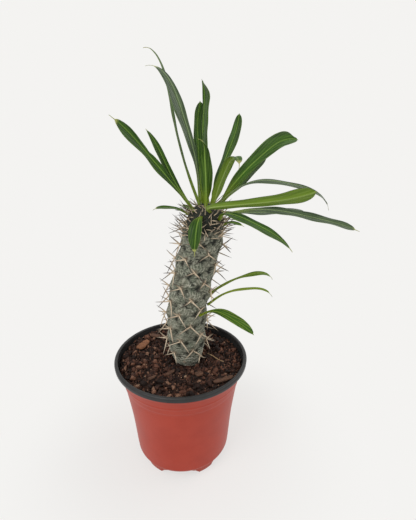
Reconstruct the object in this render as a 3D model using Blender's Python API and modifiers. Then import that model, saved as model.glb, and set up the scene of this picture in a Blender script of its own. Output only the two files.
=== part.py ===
"""A young pachypodium in a round plastic nursery pot.

The origin is the centre of the pot's underside, +Z is up and +X is the side the stem leans to.
Sizes are in millimetres and become metres where a mesh is made.
"""

import math
from typing import NamedTuple

import bmesh
import bpy
import numpy as np

MM = 0.001
SEAT_GAP = 0.3  # between pieces that touch

# Pot
POT_HEIGHT = 106.0
RIM_RADIUS = 60.0
LIP_HEIGHT = 4.6
LIP_THICKNESS = 3.2
COLLAR_FOOT_Z = 83.0
COLLAR_FOOT_RADIUS = 52.5
BODY_TOP_RADIUS = 51.9
BODY_MIDDLE = (47.4, 50.0)
BODY_FOOT_Z = 13.2
BODY_FOOT_RADIUS = 44.1
BODY_CORNER = 5.0
FOOT_TOP = (40.2, 7.6)
FOOT_RING_RADIUS = 39.2
FOOT_RING_INNER = 32.0
FLOOR_UNDERSIDE_Z = 8.4
FLOOR_Z = 10.0
WALL = 1.4
FLOOR_CORNER = 4.5
CENTRE_PAD_RADIUS = 12.0
FOOT_COUNT = 5
FOOT_TURN = math.radians(16.5)
FOOT_NOTCH_HEIGHT = 8.0
FOOT_NOTCH_WIDTH = 34.0
FOOT_NOTCH_SIDES = 48  # flats round the cutter of one arched notch
FOOT_NOTCH_SPARE = 6.0  # how far a notch's cutter runs past the ring on each side
DRAIN_HOLE_RADIUS = 4.0
DRAIN_RING_RADIUS = 19.5
POT_SEGMENTS = 48

# Soil
SOIL_EDGE_Z = 100.3
SOIL_TILT = 0.9  # how much higher the soil lies 50 mm towards its high side
SOIL_HIGH_SIDE = (-0.87, 0.5)
SOIL_DIP = 6.2
SOIL_HOLE_Z = 96.3  # the hole for the stem clears its radius at this height
SOIL_LUMP = 0.8
SOIL_SEGMENTS = 44

# Stem
STEM_FOOT_X = 5.0
STEM_FOOT_Y = 8.0
STEM_LEAN = 18.0
STEM_LEAN_START_Z = 126.0
STEM_LEAN_SPAN = 118.0
STEM_TOP_Z = 243.5
STEM_PROFILE = (
    (64.0, 3.0),
    (72.0, 7.5),
    (84.0, 9.6),
    (95.0, 9.9),
    (98.5, 12.3),
    (103.0, 13.9),
    (109.0, 15.2),
    (124.0, 16.7),
    (160.0, 17.4),
    (215.0, 16.8),
    (228.0, 15.9),
    (235.0, 14.0),
    (240.0, 10.4),
    (242.6, 5.4),
)
TUBERCLE_HEIGHT = 1.7
TUBERCLE_REACH = 7.0
STEM_SEGMENTS = 24
STEM_RING_STEP = 4.6

# Areoles: one every AREOLE_RISE up the stem, each turned AREOLE_TURN from the last
AREOLE_RISE = 2.1
AREOLE_TURN = math.radians(-150.6)
AREOLE_KEY_Z = 165.1
AREOLE_KEY_ANGLE = math.radians(-84.0)
AREOLES_BELOW = 31
AREOLES_ABOVE = 34
SPINE_RADIUS = 0.65
SPINE_SIDES = 3
SPINE_ROOT_DEPTH = 1.7
SPINE_LEAF_CLEARANCE = 2.2
SPINE_SOIL_CLEARANCE = 1.5

# Leaves
LEAF_THICKNESS = 0.9
LEAF_ROWS = 13
LEAF_COLUMNS = 3
PETIOLE_WIDTH = 3.2
LEAF_FOLD = 0.16
OUTLINE_PLACES = (0.25, 0.5, 0.75, 0.92)
STALK_END = 0.06
END_START = 0.86
AWN_RADIUS = 0.35


class Leaf(NamedTuple):
    """One leaf: angles in degrees, lengths in millimetres.

    Seat is (angle round the stem, distance from its axis, height). Widths are the blade's at
    OUTLINE_PLACES. Rise and heading each give the leaf's direction at its foot, at six tenths of its
    length and at its tip. Skew is how much wider one side is than the other, from -1 to 1. Awn is the
    length of the bristle at its tip.
    """

    name: str
    seat: tuple
    length: float
    widths: tuple
    rise: tuple
    heading: tuple
    roll: float
    skew: float
    awn: float


LEAVES = (
    Leaf("crown_leaf_01", (215, 9.5, 237), 94, (4.6, 8.1, 8.3, 10.4), (52, 51, 36), (208, 205, 214), -58, 0.2, 5),
    Leaf("crown_leaf_02", (165, 10, 237.5), 72, (6.2, 7.9, 7.8, 5), (51, 65, 49), (165, 166, 169), -26, 0.12, 1.5),
    Leaf("crown_leaf_03", (150, 5.5, 240.5), 144, (4.2, 5.6, 5.4, 4), (62, 75, -4), (140, 133, 131), 30, 0, 8),
    Leaf("crown_leaf_04", (200, 5, 241), 125, (4.5, 8.9, 9.8, 5.3), (88, 67, -10), (173, 145, 145), -17, 0.33, 9),
    Leaf("crown_leaf_05", (120, 4.5, 241.5), 80, (5.1, 9.8, 9.4, 9.4), (73, 85, 133), (115, 117, 112), 20, -0.08, 1),
    Leaf("crown_leaf_06", (75, 7.5, 240.5), 121, (5.5, 8.2, 8.2, 12), (54, 48, 139), (105, 87, 55), -34, -0.5, 1.5),
    Leaf("crown_leaf_07", (-90, 6.5, 240), 55, (7.2, 9.8, 7.3, 5.9), (83, 104, 9), (-70, -76, -177), -27, 0.09, 3),
    Leaf("crown_leaf_08", (40, 5.5, 241), 77, (8, 8.9, 11, 9.7), (70, 57, 87), (44, 47, 46), -2, -0.08, 0.8),
    Leaf("crown_leaf_09", (-50, 7, 240), 64, (8.4, 8.9, 9, 8.2), (64, 55, -118), (-59, -58, -72), -5, 0.06, 4),
    Leaf("crown_leaf_10", (30, 10, 238), 111, (7.6, 10.7, 13.8, 13.6), (48, 27, -15), (34, 42, 22), 54, 0.17, 1.2),
    Leaf("crown_leaf_11", (62, 11.5, 237), 74, (4.7, 9.5, 10.3, 8.2), (21, 36, 33), (45, 37, 40), 6, -0.03, 1),
    Leaf("crown_leaf_12", (5, 9, 239), 103, (4.8, 7.1, 6.9, 5.1), (52, -8, -78), (-16, -17, 13), 20, -0.5, 4.5),
    Leaf("crown_leaf_13", (-68, 9.5, 238.5), 107, (4.6, 6.8, 8.5, 12), (21, 10, 24), (-100, -25, -19), -59, -0.01, 1),
    Leaf("crown_leaf_14", (-8, 13.5, 235), 110, (5.7, 9.2, 8.9, 8.7), (13, -11, -22), (-10, -8, -8), 25, 0.01, 4),
    Leaf("crown_leaf_15", (22, 13.5, 235.5), 81, (3.4, 9.8, 9, 10.4), (-8, -1, -11), (21, 17, 21), 18, -0.06, 1),
    Leaf("crown_leaf_16", (-38, 14.5, 232), 81, (3.6, 9.8, 8.7, 4.9), (33, -19, -51), (-85, -29, -32), 15, -0.25, 3),
    Leaf("crown_leaf_17", (185, 13.5, 235), 30, (5.5, 5.9, 6.4, 5.4), (32, 3, -34), (184, 184, 186), -7, 0.04, 2.5),
    Leaf("crown_leaf_18", (-105, 13.5, 235.5), 39, (7, 11.3, 10.1, 5.7), (7, -64, -89), (-100, -102, -104), 15, -0.19, 4),
    Leaf("crown_leaf_19", (-5, 16.5, 227), 17, (3.4, 3.9, 3.7, 2.4), (21, -13, -38), (-13, -12, -12), 20, 0, 2),
    Leaf("crown_leaf_20", (150, 13, 236), 12, (3.4, 3.9, 3.7, 2.4), (30, 16, 0), (150, 150, 150), -5, 0, 2),
    Leaf("side_leaf_1", (25, 18, 156), 71, (3.5, 3, 6.6, 5.7), (34, 9, -65), (20, 18, -8), 14, -0.45, 4),
    Leaf("side_leaf_2", (-8, 18.9, 154), 62, (3.6, 4.7, 4.8, 4.1), (39, 11, -65), (4, -12, -8), 0, 0.1, 4),
    Leaf("side_leaf_3", (-48, 18.5, 149), 58, (4.1, 8.4, 8.6, 5.6), (38, -10, -31), (-39, -40, -38), 19, 0.22, 1),
)


class Chip(NamedTuple):
    """One bark chip on the soil: where it lies, its length, width and thickness, and its turn in degrees."""

    name: str
    place: tuple
    size: tuple
    turn: float


CHIPS = (
    Chip("bark_chip_1", (-38, 19), (15, 7.5, 2.4), 62),
    Chip("bark_chip_2", (-28, 35), (10, 5, 2.0), -12),
    Chip("bark_chip_3", (38, -30), (18, 4.5, 2.0), 26),
    Chip("bark_chip_4", (-8, -21), (9, 3.2, 1.6), 48),
    Chip("bark_chip_5", (17, -23), (7, 5, 2.0), 15),
    Chip("bark_chip_6", (-23, -29), (8, 3, 1.6), 35),
)
FIBRE_ROUTE = ((24, 12), (29, 6), (34, 0), (39, -5))
FIBRE_RADIUS = 0.45

COLOURS = {
    "pot": ((0.40, 0.062, 0.036, 1.0), 0.42),
    "soil": ((0.045, 0.022, 0.015, 1.0), 0.95),
    "stem": ((0.185, 0.2, 0.14, 1.0), 0.75),
    "leaf": ((0.035, 0.11, 0.03, 1.0), 0.35),
    "side_leaf": ((0.06, 0.19, 0.02, 1.0), 0.38),
    "bark": ((0.23, 0.09, 0.04, 1.0), 0.85),
    "fibre": ((0.42, 0.27, 0.15, 1.0), 0.8),
}


def material(kind):
    """The Principled material of one kind of piece."""
    made = bpy.data.materials.get(kind)
    if made:
        return made
    made = bpy.data.materials.new(kind)
    made.use_nodes = True
    shader = made.node_tree.nodes["Principled BSDF"]
    colour, roughness = COLOURS[kind]
    shader.inputs["Base Color"].default_value = colour
    shader.inputs["Roughness"].default_value = roughness
    shader.inputs["Metallic"].default_value = 0.0
    return made


def collection(name):
    """A new collection in the scene."""
    made = bpy.data.collections.new(name)
    bpy.context.scene.collection.children.link(made)
    return made


def add_object(name, mesh, kind, home):
    """An object with this mesh and its kind's material."""
    made = bpy.data.objects.new(name, mesh)
    mesh.materials.append(material(kind))
    home.objects.link(made)
    return made


def mesh_from(name, points, faces):
    """A mesh from points in millimetres."""
    mesh = bpy.data.meshes.new(name)
    mesh.from_pydata((np.asarray(points) * MM).tolist(), [], faces)
    mesh.update()
    return mesh


def ring_mesh(name, rings, bottom, top):
    """A closed loft through rings of points, with a pole at each end; rings run bottom to top."""
    count, around = len(rings), len(rings[0])
    points = [bottom] + [point for ring in rings for point in ring] + [top]
    faces = []
    for row in range(count - 1):
        for step in range(around):
            after = (step + 1) % around
            low = 1 + row * around
            high = low + around
            faces.append((low + step, low + after, high + after, high + step))
    last = len(points) - 1
    for step in range(around):
        after = (step + 1) % around
        faces.append((0, 1 + after, 1 + step))
        faces.append((last, last - around + step, last - around + after))
    return mesh_from(name, points, faces)


def ease(value):
    """0 to 1 with a level start and end."""
    value = np.clip(value, 0.0, 1.0)
    return value * value * (3.0 - 2.0 * value)


def cylinder(name, radius, low, high, place, sides, home):
    """An upright cylinder made as a cutter."""
    bpy.ops.mesh.primitive_cylinder_add(
        vertices=sides,
        radius=radius * MM,
        depth=(high - low) * MM,
        location=(place[0] * MM, place[1] * MM, (low + high) / 2 * MM),
    )
    return as_cutter(bpy.context.object, name, home)


def as_cutter(made, name, home):
    """Names a helper, hides it and keeps it in the cutters' collection."""
    made.name = name
    for old in list(made.users_collection):
        old.objects.unlink(made)
    home.objects.link(made)
    made.hide_render = True
    made.display_type = "WIRE"
    return made


def boolean(target, tool, operation):
    """A Boolean modifier with the exact solver."""
    made = target.modifiers.new(tool.name, "BOOLEAN")
    made.operation = operation
    made.solver = "EXACT"
    made.object = tool


# ---------------------------------------------------------------- pot


def arc(centre, radius, start, end, steps):
    """Points on an arc in the profile's plane, angles in degrees."""
    angles = np.radians(np.linspace(start, end, steps))
    return [(centre[0] + radius * math.cos(a), centre[1] + radius * math.sin(a)) for a in angles]


def inner_wall_radius(z):
    """The pot's inner radius at height z, where the soil lies against it."""
    heights = (FLOOR_Z, BODY_FOOT_Z + 2.0, COLLAR_FOOT_Z, COLLAR_FOOT_Z + 2.0, POT_HEIGHT - LIP_HEIGHT)
    radii = (
        BODY_FOOT_RADIUS - WALL - FLOOR_CORNER,
        BODY_FOOT_RADIUS - WALL,
        BODY_TOP_RADIUS - WALL,
        COLLAR_FOOT_RADIUS + 0.3 - WALL,
        RIM_RADIUS - LIP_THICKNESS,
    )
    return np.interp(z, heights, radii)


def pot_profile():
    """(radius, height) round the pot's section: down the outside, under the foot, up the inside."""
    lip_low = POT_HEIGHT - LIP_HEIGHT
    outside = arc((RIM_RADIUS - 1.6, POT_HEIGHT - 1.6), 1.6, 90, 0, 4)
    outside += [(RIM_RADIUS - 0.2, lip_low + 0.5), (RIM_RADIUS - 0.9, lip_low)]
    outside += [(RIM_RADIUS - 3.0, lip_low - 0.1)]
    outside += [(COLLAR_FOOT_RADIUS + 0.1, COLLAR_FOOT_Z + 0.8)]
    outside += [(BODY_TOP_RADIUS, COLLAR_FOOT_Z - 0.4)]
    outside += [BODY_MIDDLE]
    outside += arc((BODY_FOOT_RADIUS - BODY_CORNER, BODY_FOOT_Z), BODY_CORNER, 0, -75, 5)
    outside += [FOOT_TOP, (FOOT_RING_RADIUS, 1.0), (FOOT_RING_RADIUS - 1.2, 0.0)]
    under = [(FOOT_RING_INNER, 0.0), (FOOT_RING_INNER - 1.0, FLOOR_UNDERSIDE_Z)]
    under += [(CENTRE_PAD_RADIUS + 1.0, FLOOR_UNDERSIDE_Z), (CENTRE_PAD_RADIUS, 0.0), (0.0, 0.0)]
    inside = [(0.0, FLOOR_Z), (BODY_FOOT_RADIUS - WALL - FLOOR_CORNER, FLOOR_Z)]
    for z in (BODY_FOOT_Z + 2.0, COLLAR_FOOT_Z, COLLAR_FOOT_Z + 2.0, lip_low):
        inside.append((float(inner_wall_radius(z)), z))
    inside += [(RIM_RADIUS - LIP_THICKNESS, POT_HEIGHT - 1.0)]
    inside += [(RIM_RADIUS - LIP_THICKNESS + 0.8, POT_HEIGHT)]
    return outside + under + inside


def make_pot(home, cutters):
    """The one-piece pot: a turned profile, arched notches under the foot ring, and drain holes."""
    profile = pot_profile()
    points = [(radius * MM, 0.0, z * MM) for radius, z in profile]
    edges = [(step, step + 1) for step in range(len(points) - 1)] + [(len(points) - 1, 0)]
    mesh = bpy.data.meshes.new("pot")
    mesh.from_pydata(points, edges, [])
    pot = add_object("pot", mesh, "pot", home)
    screw = pot.modifiers.new("Screw", "SCREW")
    screw.steps = POT_SEGMENTS
    screw.render_steps = POT_SEGMENTS
    screw.use_merge_vertices = True
    screw.merge_threshold = 0.00001
    screw.use_smooth_shade = True
    reach = 0.5 * (FOOT_RING_INNER + FOOT_RING_RADIUS)
    length = FOOT_RING_RADIUS - FOOT_RING_INNER + 2 * FOOT_NOTCH_SPARE
    for step in range(FOOT_COUNT):
        angle = FOOT_TURN + math.pi * (2 * step + 1) / FOOT_COUNT
        bpy.ops.mesh.primitive_cylinder_add(vertices=FOOT_NOTCH_SIDES, radius=1.0, depth=1.0)
        bar = as_cutter(bpy.context.object, f"foot_notch_{step + 1}", cutters)
        bar.location = (reach * math.cos(angle) * MM, reach * math.sin(angle) * MM, 0.0)
        bar.scale = (FOOT_NOTCH_HEIGHT * MM, 0.5 * FOOT_NOTCH_WIDTH * MM, length * MM)
        bar.rotation_euler = (0.0, 0.5 * math.pi, angle)
        boolean(pot, bar, "DIFFERENCE")
    for step in range(FOOT_COUNT):
        angle = FOOT_TURN + 2 * math.pi * step / FOOT_COUNT
        place = (DRAIN_RING_RADIUS * math.cos(angle), DRAIN_RING_RADIUS * math.sin(angle))
        top = FLOOR_Z + 4.0
        hole = cylinder(f"drain_{step + 1}", DRAIN_HOLE_RADIUS, -3.0, top, place, 12, cutters)
        boolean(pot, hole, "DIFFERENCE")
    return pot


# ---------------------------------------------------------------- soil


def soil_height(x, y):
    """The soil's top: higher on one side, with a dip about the stem and soft lumps."""
    reach = np.hypot(x - STEM_FOOT_X, y - STEM_FOOT_Y) / 50.0
    dip = SOIL_DIP * np.exp(-6.0 * reach * reach)
    lumps = np.sin(x * 0.31 + 1.3) * np.cos(y * 0.27 - 0.4) + 0.6 * np.sin(x * 0.17 - y * 0.36)
    tilt = SOIL_TILT * (x * SOIL_HIGH_SIDE[0] + y * SOIL_HIGH_SIDE[1]) / 50.0
    return SOIL_EDGE_Z + tilt - dip + SOIL_LUMP * 0.6 * lumps


def soil_ring(radius, z, shift=0.0):
    """A level ring about the pot's axis, moved by shift (0 to 1) to the stem's foot."""
    angles = np.linspace(0, 2 * math.pi, SOIL_SEGMENTS, endpoint=False)
    x = STEM_FOOT_X * shift + radius * np.cos(angles)
    y = STEM_FOOT_Y * shift + radius * np.sin(angles)
    return np.stack([x, y, np.full_like(x, z)], axis=1)


def make_soil(home):
    """The potting mix: it fills the pot and has a socket for the stem's root."""
    clear = SEAT_GAP
    bottom = FLOOR_Z + clear
    rings = [soil_ring(float(inner_wall_radius(bottom)) - 2 * clear, bottom)]
    for z in (BODY_FOOT_Z + 2.0, COLLAR_FOOT_Z, COLLAR_FOOT_Z + 2.0):
        rings.append(soil_ring(float(inner_wall_radius(z)) - clear - 0.1, z))
    top_radius = float(inner_wall_radius(SOIL_EDGE_Z - SOIL_TILT)) - clear - 0.3
    hole = stem_radius(SOIL_HOLE_Z) + clear
    for share in (1.0, 0.86, 0.7, 0.54, 0.38, 0.2, 0.0):
        radius = hole + (top_radius - hole) * share
        ring = soil_ring(radius, 0.0, 1.0 - share)
        ring[:, 2] = soil_height(ring[:, 0], ring[:, 1])
        rings.append(ring)
    for z, radius in reversed(STEM_PROFILE[:3]):
        rings.append(soil_ring(radius + clear + 0.1, z - clear, 1.0))
    under = (0.0, 0.0, bottom)
    socket = (STEM_FOOT_X, STEM_FOOT_Y, STEM_PROFILE[0][0] - 2.0)
    return add_object("soil", ring_mesh("soil", rings, under, socket), "soil", home)


# ---------------------------------------------------------------- stem


def stem_axis(z):
    """The stem's centre line at height z: upright at the foot, then a slow lean to +X."""
    lean = STEM_LEAN * ease((z - STEM_LEAN_START_Z) / STEM_LEAN_SPAN) ** 1.2
    x = STEM_FOOT_X + lean
    y = STEM_FOOT_Y + 1.0 * ease((z - 100.0) / 60.0)
    return x, y


def stem_radius(z):
    """The stem's plain radius, before its tubercles, at height z."""
    heights = [row[0] for row in STEM_PROFILE] + [STEM_TOP_Z]
    radii = [row[1] for row in STEM_PROFILE] + [0.0]
    return np.interp(z, heights, radii)


def areoles():
    """(angle, height) of each areole on its spiral."""
    steps = np.arange(-AREOLES_BELOW, AREOLES_ABOVE + 1)
    return AREOLE_KEY_ANGLE + AREOLE_TURN * steps, AREOLE_KEY_Z + AREOLE_RISE * steps


def tubercle_lift(angle, z):
    """How far the surface swells at an angle and height, from the nearest areoles."""
    angle = np.atleast_1d(angle)[:, None]
    z = np.atleast_1d(z)[:, None]
    spots, heights = areoles()
    turn = (angle - spots[None, :] + math.pi) % (2 * math.pi) - math.pi
    across = turn * stem_radius(z)
    along = z - heights[None, :]
    reach = np.hypot(across, along * 0.85) / TUBERCLE_REACH
    swell = np.clip(1.0 - reach, 0.0, 1.0) ** 1.3
    fade = np.interp(z[:, 0], (99.0, 112.0, 226.0, 236.0), (0.0, 1.0, 1.0, 0.0))
    return TUBERCLE_HEIGHT * swell.max(axis=1) * fade


def stem_point(angle, z, lift=0.0):
    """A point on the stem's surface, raised outwards by lift."""
    x, y = stem_axis(z)
    radius = stem_radius(z) + tubercle_lift(angle, z) + lift
    points = np.stack([x + radius * np.cos(angle), y + radius * np.sin(angle), z + 0 * angle], axis=-1)
    return points


def stem_rings():
    """Rings of points up the stem, closest together on its crown."""
    root = [row[0] for row in STEM_PROFILE[:4]]
    body = np.arange(97.0, 232.0, STEM_RING_STEP)
    heights = [*root, *body, 232.0, 235.0, 238.0, 240.5, STEM_PROFILE[-1][0]]
    angles = np.linspace(0, 2 * math.pi, STEM_SEGMENTS, endpoint=False)
    return [stem_point(angles, np.full_like(angles, z)) for z in heights]


def spine_rays(angle, z):
    """(direction, length) of the three spines of one areole."""
    out = np.array([math.cos(angle), math.sin(angle), 0.0])
    side = np.array([-math.sin(angle), math.cos(angle), 0.0])
    up = np.array([0.0, 0.0, 1.0])
    crown = float(ease((z - 205.0) / 30.0))
    rays = (
        (0.4 * out + 0.72 * side + (-0.56 + 0.8 * crown) * up, 16.0),
        (0.42 * out - 0.85 * side + (-0.28 + 0.7 * crown) * up, 15.0),
        (0.7 * out - 0.25 * side + (0.66 + 0.5 * crown) * up, 11.0 + 2.0 * crown),
    )
    return [(ray / np.linalg.norm(ray), length) for ray, length in rays]


def spine_is_clear(start, end, blades):
    """Whether a spine keeps off every leaf and the soil."""
    walk = start + np.linspace(0, 1, 12)[:, None] * (end - start)
    lowest = soil_height(walk[:, 0], walk[:, 1]) + SPINE_SOIL_CLEARANCE
    if (walk[:, 2] < lowest).any():
        return False
    gaps = np.linalg.norm(walk[:, None, :] - blades[None, :, :], axis=2)
    return bool(gaps.min() > SPINE_LEAF_CLEARANCE)


def add_cone(mesh, start, end, radius):
    """A closed slender cone from start to end in a bmesh, in millimetres."""
    run = end - start
    length = float(np.linalg.norm(run))
    made = bmesh.ops.create_cone(
        mesh,
        cap_ends=True,
        segments=SPINE_SIDES,
        radius1=radius * MM,
        radius2=0.12 * radius * MM,
        depth=length * MM,
    )["verts"]
    along = run / length
    across = np.cross(along, (0.0, 0.0, 1.0))
    across /= np.linalg.norm(across)
    third = np.cross(along, across)
    middle = (start + end) / 2
    for vertex in made:
        local = np.array(vertex.co)
        vertex.co = local[0] * across + local[1] * third + local[2] * along + middle * MM


def make_stem(home, cutters, blades):
    """The stem: a leaning loft with tubercles, and its spines joined on, three to an areole."""
    rings = stem_rings()
    foot = (STEM_FOOT_X, STEM_FOOT_Y, STEM_PROFILE[0][0] - 1.2)
    x, y = stem_axis(STEM_TOP_Z)
    mesh = ring_mesh("stem", rings, foot, (x, y, STEM_TOP_Z))
    stem = add_object("stem", mesh, "stem", home)
    sets = [bmesh.new() for _ in range(3)]
    for angle, z in zip(*areoles()):
        root = stem_point(np.array([angle]), np.array([z]))[0]
        for which, (ray, length) in enumerate(spine_rays(angle, z)):
            start = root - ray * SPINE_ROOT_DEPTH
            end = root + ray * length
            if spine_is_clear(root + ray * 1.5, end, blades):
                add_cone(sets[which], start, end, SPINE_RADIUS)
    for which, spines in enumerate(sets):
        spine_mesh = bpy.data.meshes.new(f"spines_{which + 1}")
        spines.to_mesh(spine_mesh)
        spines.free()
        tool = bpy.data.objects.new(f"spines_{which + 1}", spine_mesh)
        as_cutter(tool, tool.name, cutters)
        boolean(stem, tool, "UNION")
    return stem


# ---------------------------------------------------------------- leaves


def bend(share, angles):
    """An angle along a leaf: eased from its foot to six tenths, then curving on to its tip."""
    foot, middle, tip = np.radians(angles)
    late = np.clip((share - 0.6) / 0.4, 0.0, 1.0)
    return foot + (middle - foot) * ease(share / 0.6) + (tip - middle) * late * late


def leaf_frame(leaf, share):
    """Direction, side and upper normal along a leaf, its blade rolled about its midrib."""
    rise = bend(share, leaf.rise)
    heading = bend(share, leaf.heading)
    flat = np.cos(rise)
    along = np.stack([flat * np.cos(heading), flat * np.sin(heading), np.sin(rise)], axis=1)
    side = np.stack([-np.sin(heading), np.cos(heading), np.zeros_like(share)], axis=1)
    normal = np.cross(along, side)
    roll = np.radians(leaf.roll) * ease(share / 0.35)[:, None]
    turned_side = side * np.cos(roll) + normal * np.sin(roll)
    turned_normal = normal * np.cos(roll) - side * np.sin(roll)
    return along, turned_side, turned_normal


def flowing(place, knots, values):
    """A smooth curve through the values at the knots: cubic pieces that share their slopes."""
    knots, values = np.asarray(knots), np.asarray(values)
    slopes = np.gradient(values, knots)
    step = np.clip(np.searchsorted(knots, place, side="right") - 1, 0, len(knots) - 2)
    gap = knots[step + 1] - knots[step]
    t = (place - knots[step]) / gap
    start = values[step] * (1 + 2 * t) + slopes[step] * gap * t
    end = values[step + 1] * (3 - 2 * t) - slopes[step + 1] * gap * (1 - t)
    return start * (1 - t) ** 2 + end * t**2


def leaf_half_width(leaf, share, side):
    """Half the blade's width on one side: a slim stalk, the leaf's outline, a rounded end, then the awn."""
    spot = share / (1.0 - leaf.awn / leaf.length)
    stalk = min(PETIOLE_WIDTH, leaf.widths[0])
    knots = (0.0, STALK_END, *OUTLINE_PLACES, 1.5)
    width = flowing(spot, knots, (stalk, stalk, *leaf.widths, leaf.widths[-1]))
    end = np.clip((spot - END_START) / (1.0 - END_START), 0.0, 1.0)
    lean = 1.0 + side * leaf.skew * ease(share / 0.3)
    return np.maximum(width / 2 * lean * np.sqrt(1.0 - end**2), AWN_RADIUS)


def leaf_foot(leaf):
    """Where the leaf's midrib starts: moved out along the leaf until its foot clears the stem."""
    angle, reach, z = leaf.seat
    x, y = stem_axis(z)
    start = np.array([x + reach * math.cos(math.radians(angle)), y + reach * math.sin(math.radians(angle)), z])
    along, side, normal = (rows[0] for rows in leaf_frame(leaf, np.array([0.0])))
    half = PETIOLE_WIDTH / 2
    thick = LEAF_THICKNESS / 2
    corners = [side * half * a + normal * thick * b for a in (-1, 0, 1) for b in (-1, 1)]
    for step in range(160):
        foot = start + along * 0.15 * step
        if all(stem_clearance(foot + corner) > SEAT_GAP for corner in corners):
            break
    return foot


def stem_clearance(point):
    """About how far a point lies outside the stem, with its tubercles."""
    z = point[2]
    x, y = stem_axis(z)
    angle = math.atan2(point[1] - y, point[0] - x)
    if z > STEM_TOP_Z:
        return z - STEM_TOP_Z + 0.01
    lift = float(tubercle_lift(np.array([angle]), np.array([z]))[0])
    slope = (stem_radius(z - 0.5) - stem_radius(z + 0.5)) / 1.0
    outside = math.hypot(point[0] - x, point[1] - y) - stem_radius(z) - lift
    return outside / math.hypot(1.0, slope)


def leaf_midrib(leaf, share):
    """Points along the midrib, by adding up the direction along the leaf."""
    fine = np.linspace(0.0, 1.0, 241)
    along, _, _ = leaf_frame(leaf, fine)
    steps = (along[:-1] + along[1:]) / 2 * leaf.length / (len(fine) - 1)
    path = np.vstack([np.zeros(3), np.cumsum(steps, axis=0)]) + leaf_foot(leaf)
    return np.stack([np.interp(share, fine, path[:, axis]) for axis in range(3)], axis=1)


def leaf_points(leaf, rows, columns):
    """A grid over the blade: folded up a little on both sides of the midrib."""
    share = 1.0 - (1.0 - np.linspace(0.0, 1.0, rows)) ** 1.25
    across = np.linspace(-1.0, 1.0, columns)
    _, side, normal = leaf_frame(leaf, share)
    left, right = (leaf_half_width(leaf, share, way)[:, None] for way in (1, -1))
    reach = np.where(across > 0, left, right) * across
    middle = leaf_midrib(leaf, share)
    out = side[:, None, :] * reach[..., None]
    lift = normal[:, None, :] * (LEAF_FOLD * np.abs(reach))[..., None]
    return middle[:, None, :] + out + lift


def make_leaf(leaf, home):
    """A bent blade given its thickness by Solidify."""
    grid = leaf_points(leaf, LEAF_ROWS, LEAF_COLUMNS)
    faces = []
    for row in range(LEAF_ROWS - 1):
        for column in range(LEAF_COLUMNS - 1):
            corner = row * LEAF_COLUMNS + column
            faces.append((corner, corner + LEAF_COLUMNS, corner + LEAF_COLUMNS + 1, corner + 1))
    mesh = mesh_from(leaf.name, grid.reshape(-1, 3), faces)
    kind = "side_leaf" if leaf.name.startswith("side") else "leaf"
    made = add_object(leaf.name, mesh, kind, home)
    solidify = made.modifiers.new("Solidify", "SOLIDIFY")
    solidify.thickness = LEAF_THICKNESS * MM
    solidify.offset = 0.0
    made.data.shade_smooth()
    return made


# ---------------------------------------------------------------- loose bits


def make_chip(chip, home):
    """A bevelled, tapered splinter of bark resting on the soil."""
    length, width, thick = chip.size
    turn = math.radians(chip.turn)
    shape = bmesh.new()
    bmesh.ops.create_cube(shape, size=1.0)
    for vertex in shape.verts:
        share = vertex.co.x + 0.5
        taper = 1.0 - 0.35 * share if vertex.co.y > 0 else 0.75 + 0.25 * share
        across = vertex.co.y * width * taper
        along = vertex.co.x * length
        vertex.co.x = (along * math.cos(turn) - across * math.sin(turn)) * MM
        vertex.co.y = (along * math.sin(turn) + across * math.cos(turn)) * MM
        vertex.co.z *= thick * MM
    along, across = np.meshgrid(np.linspace(-0.5, 0.5, 9) * length, np.linspace(-0.5, 0.5, 5) * width)
    x = chip.place[0] + along * math.cos(turn) - across * math.sin(turn)
    y = chip.place[1] + along * math.sin(turn) + across * math.cos(turn)
    rest = float(soil_height(x, y).max()) + SEAT_GAP + thick / 2
    mesh = bpy.data.meshes.new(chip.name)
    shape.to_mesh(mesh)
    shape.free()
    made = add_object(chip.name, mesh, "bark", home)
    made.location = (chip.place[0] * MM, chip.place[1] * MM, rest * MM)
    bevel = made.modifiers.new("Bevel", "BEVEL")
    bevel.width = 0.45 * MM
    bevel.segments = 1
    return made


def make_fibre(home):
    """A dry fibre lying on the soil beside the stem."""
    curve = bpy.data.curves.new("loose_fibre", "CURVE")
    curve.dimensions = "3D"
    curve.bevel_depth = FIBRE_RADIUS * MM
    curve.bevel_resolution = 1
    curve.use_fill_caps = True
    spline = curve.splines.new("POLY")
    spline.points.add(len(FIBRE_ROUTE) - 1)
    for point, (x, y) in zip(spline.points, FIBRE_ROUTE):
        z = float(soil_height(x, y)) + FIBRE_RADIUS + 2 * SEAT_GAP
        point.co = (x * MM, y * MM, z * MM, 1.0)
    made = bpy.data.objects.new("loose_fibre", curve)
    curve.materials.append(material("fibre"))
    home.objects.link(made)
    return made


def main():
    for old in list(bpy.data.objects):
        bpy.data.objects.remove(old)
    home = collection("potted_pachypodium")
    cutters = collection("cutters")
    blades = np.concatenate([leaf_points(leaf, 60, 9).reshape(-1, 3) for leaf in LEAVES])
    make_pot(home, cutters)
    make_soil(home)
    make_stem(home, cutters, blades)
    for leaf in LEAVES:
        make_leaf(leaf, home)
    for chip in CHIPS:
        make_chip(chip, home)
    make_fibre(home)


main()
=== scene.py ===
"""The looks of a young pachypodium in a round nursery pot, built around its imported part.

Lengths are in millimetres and become metres where a mesh is made. The origin is the centre of the
pot's underside, +Z is up and +X is the side that the stem leans to.
"""

import logging
import math
from dataclasses import dataclass, field
from enum import Enum

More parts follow.
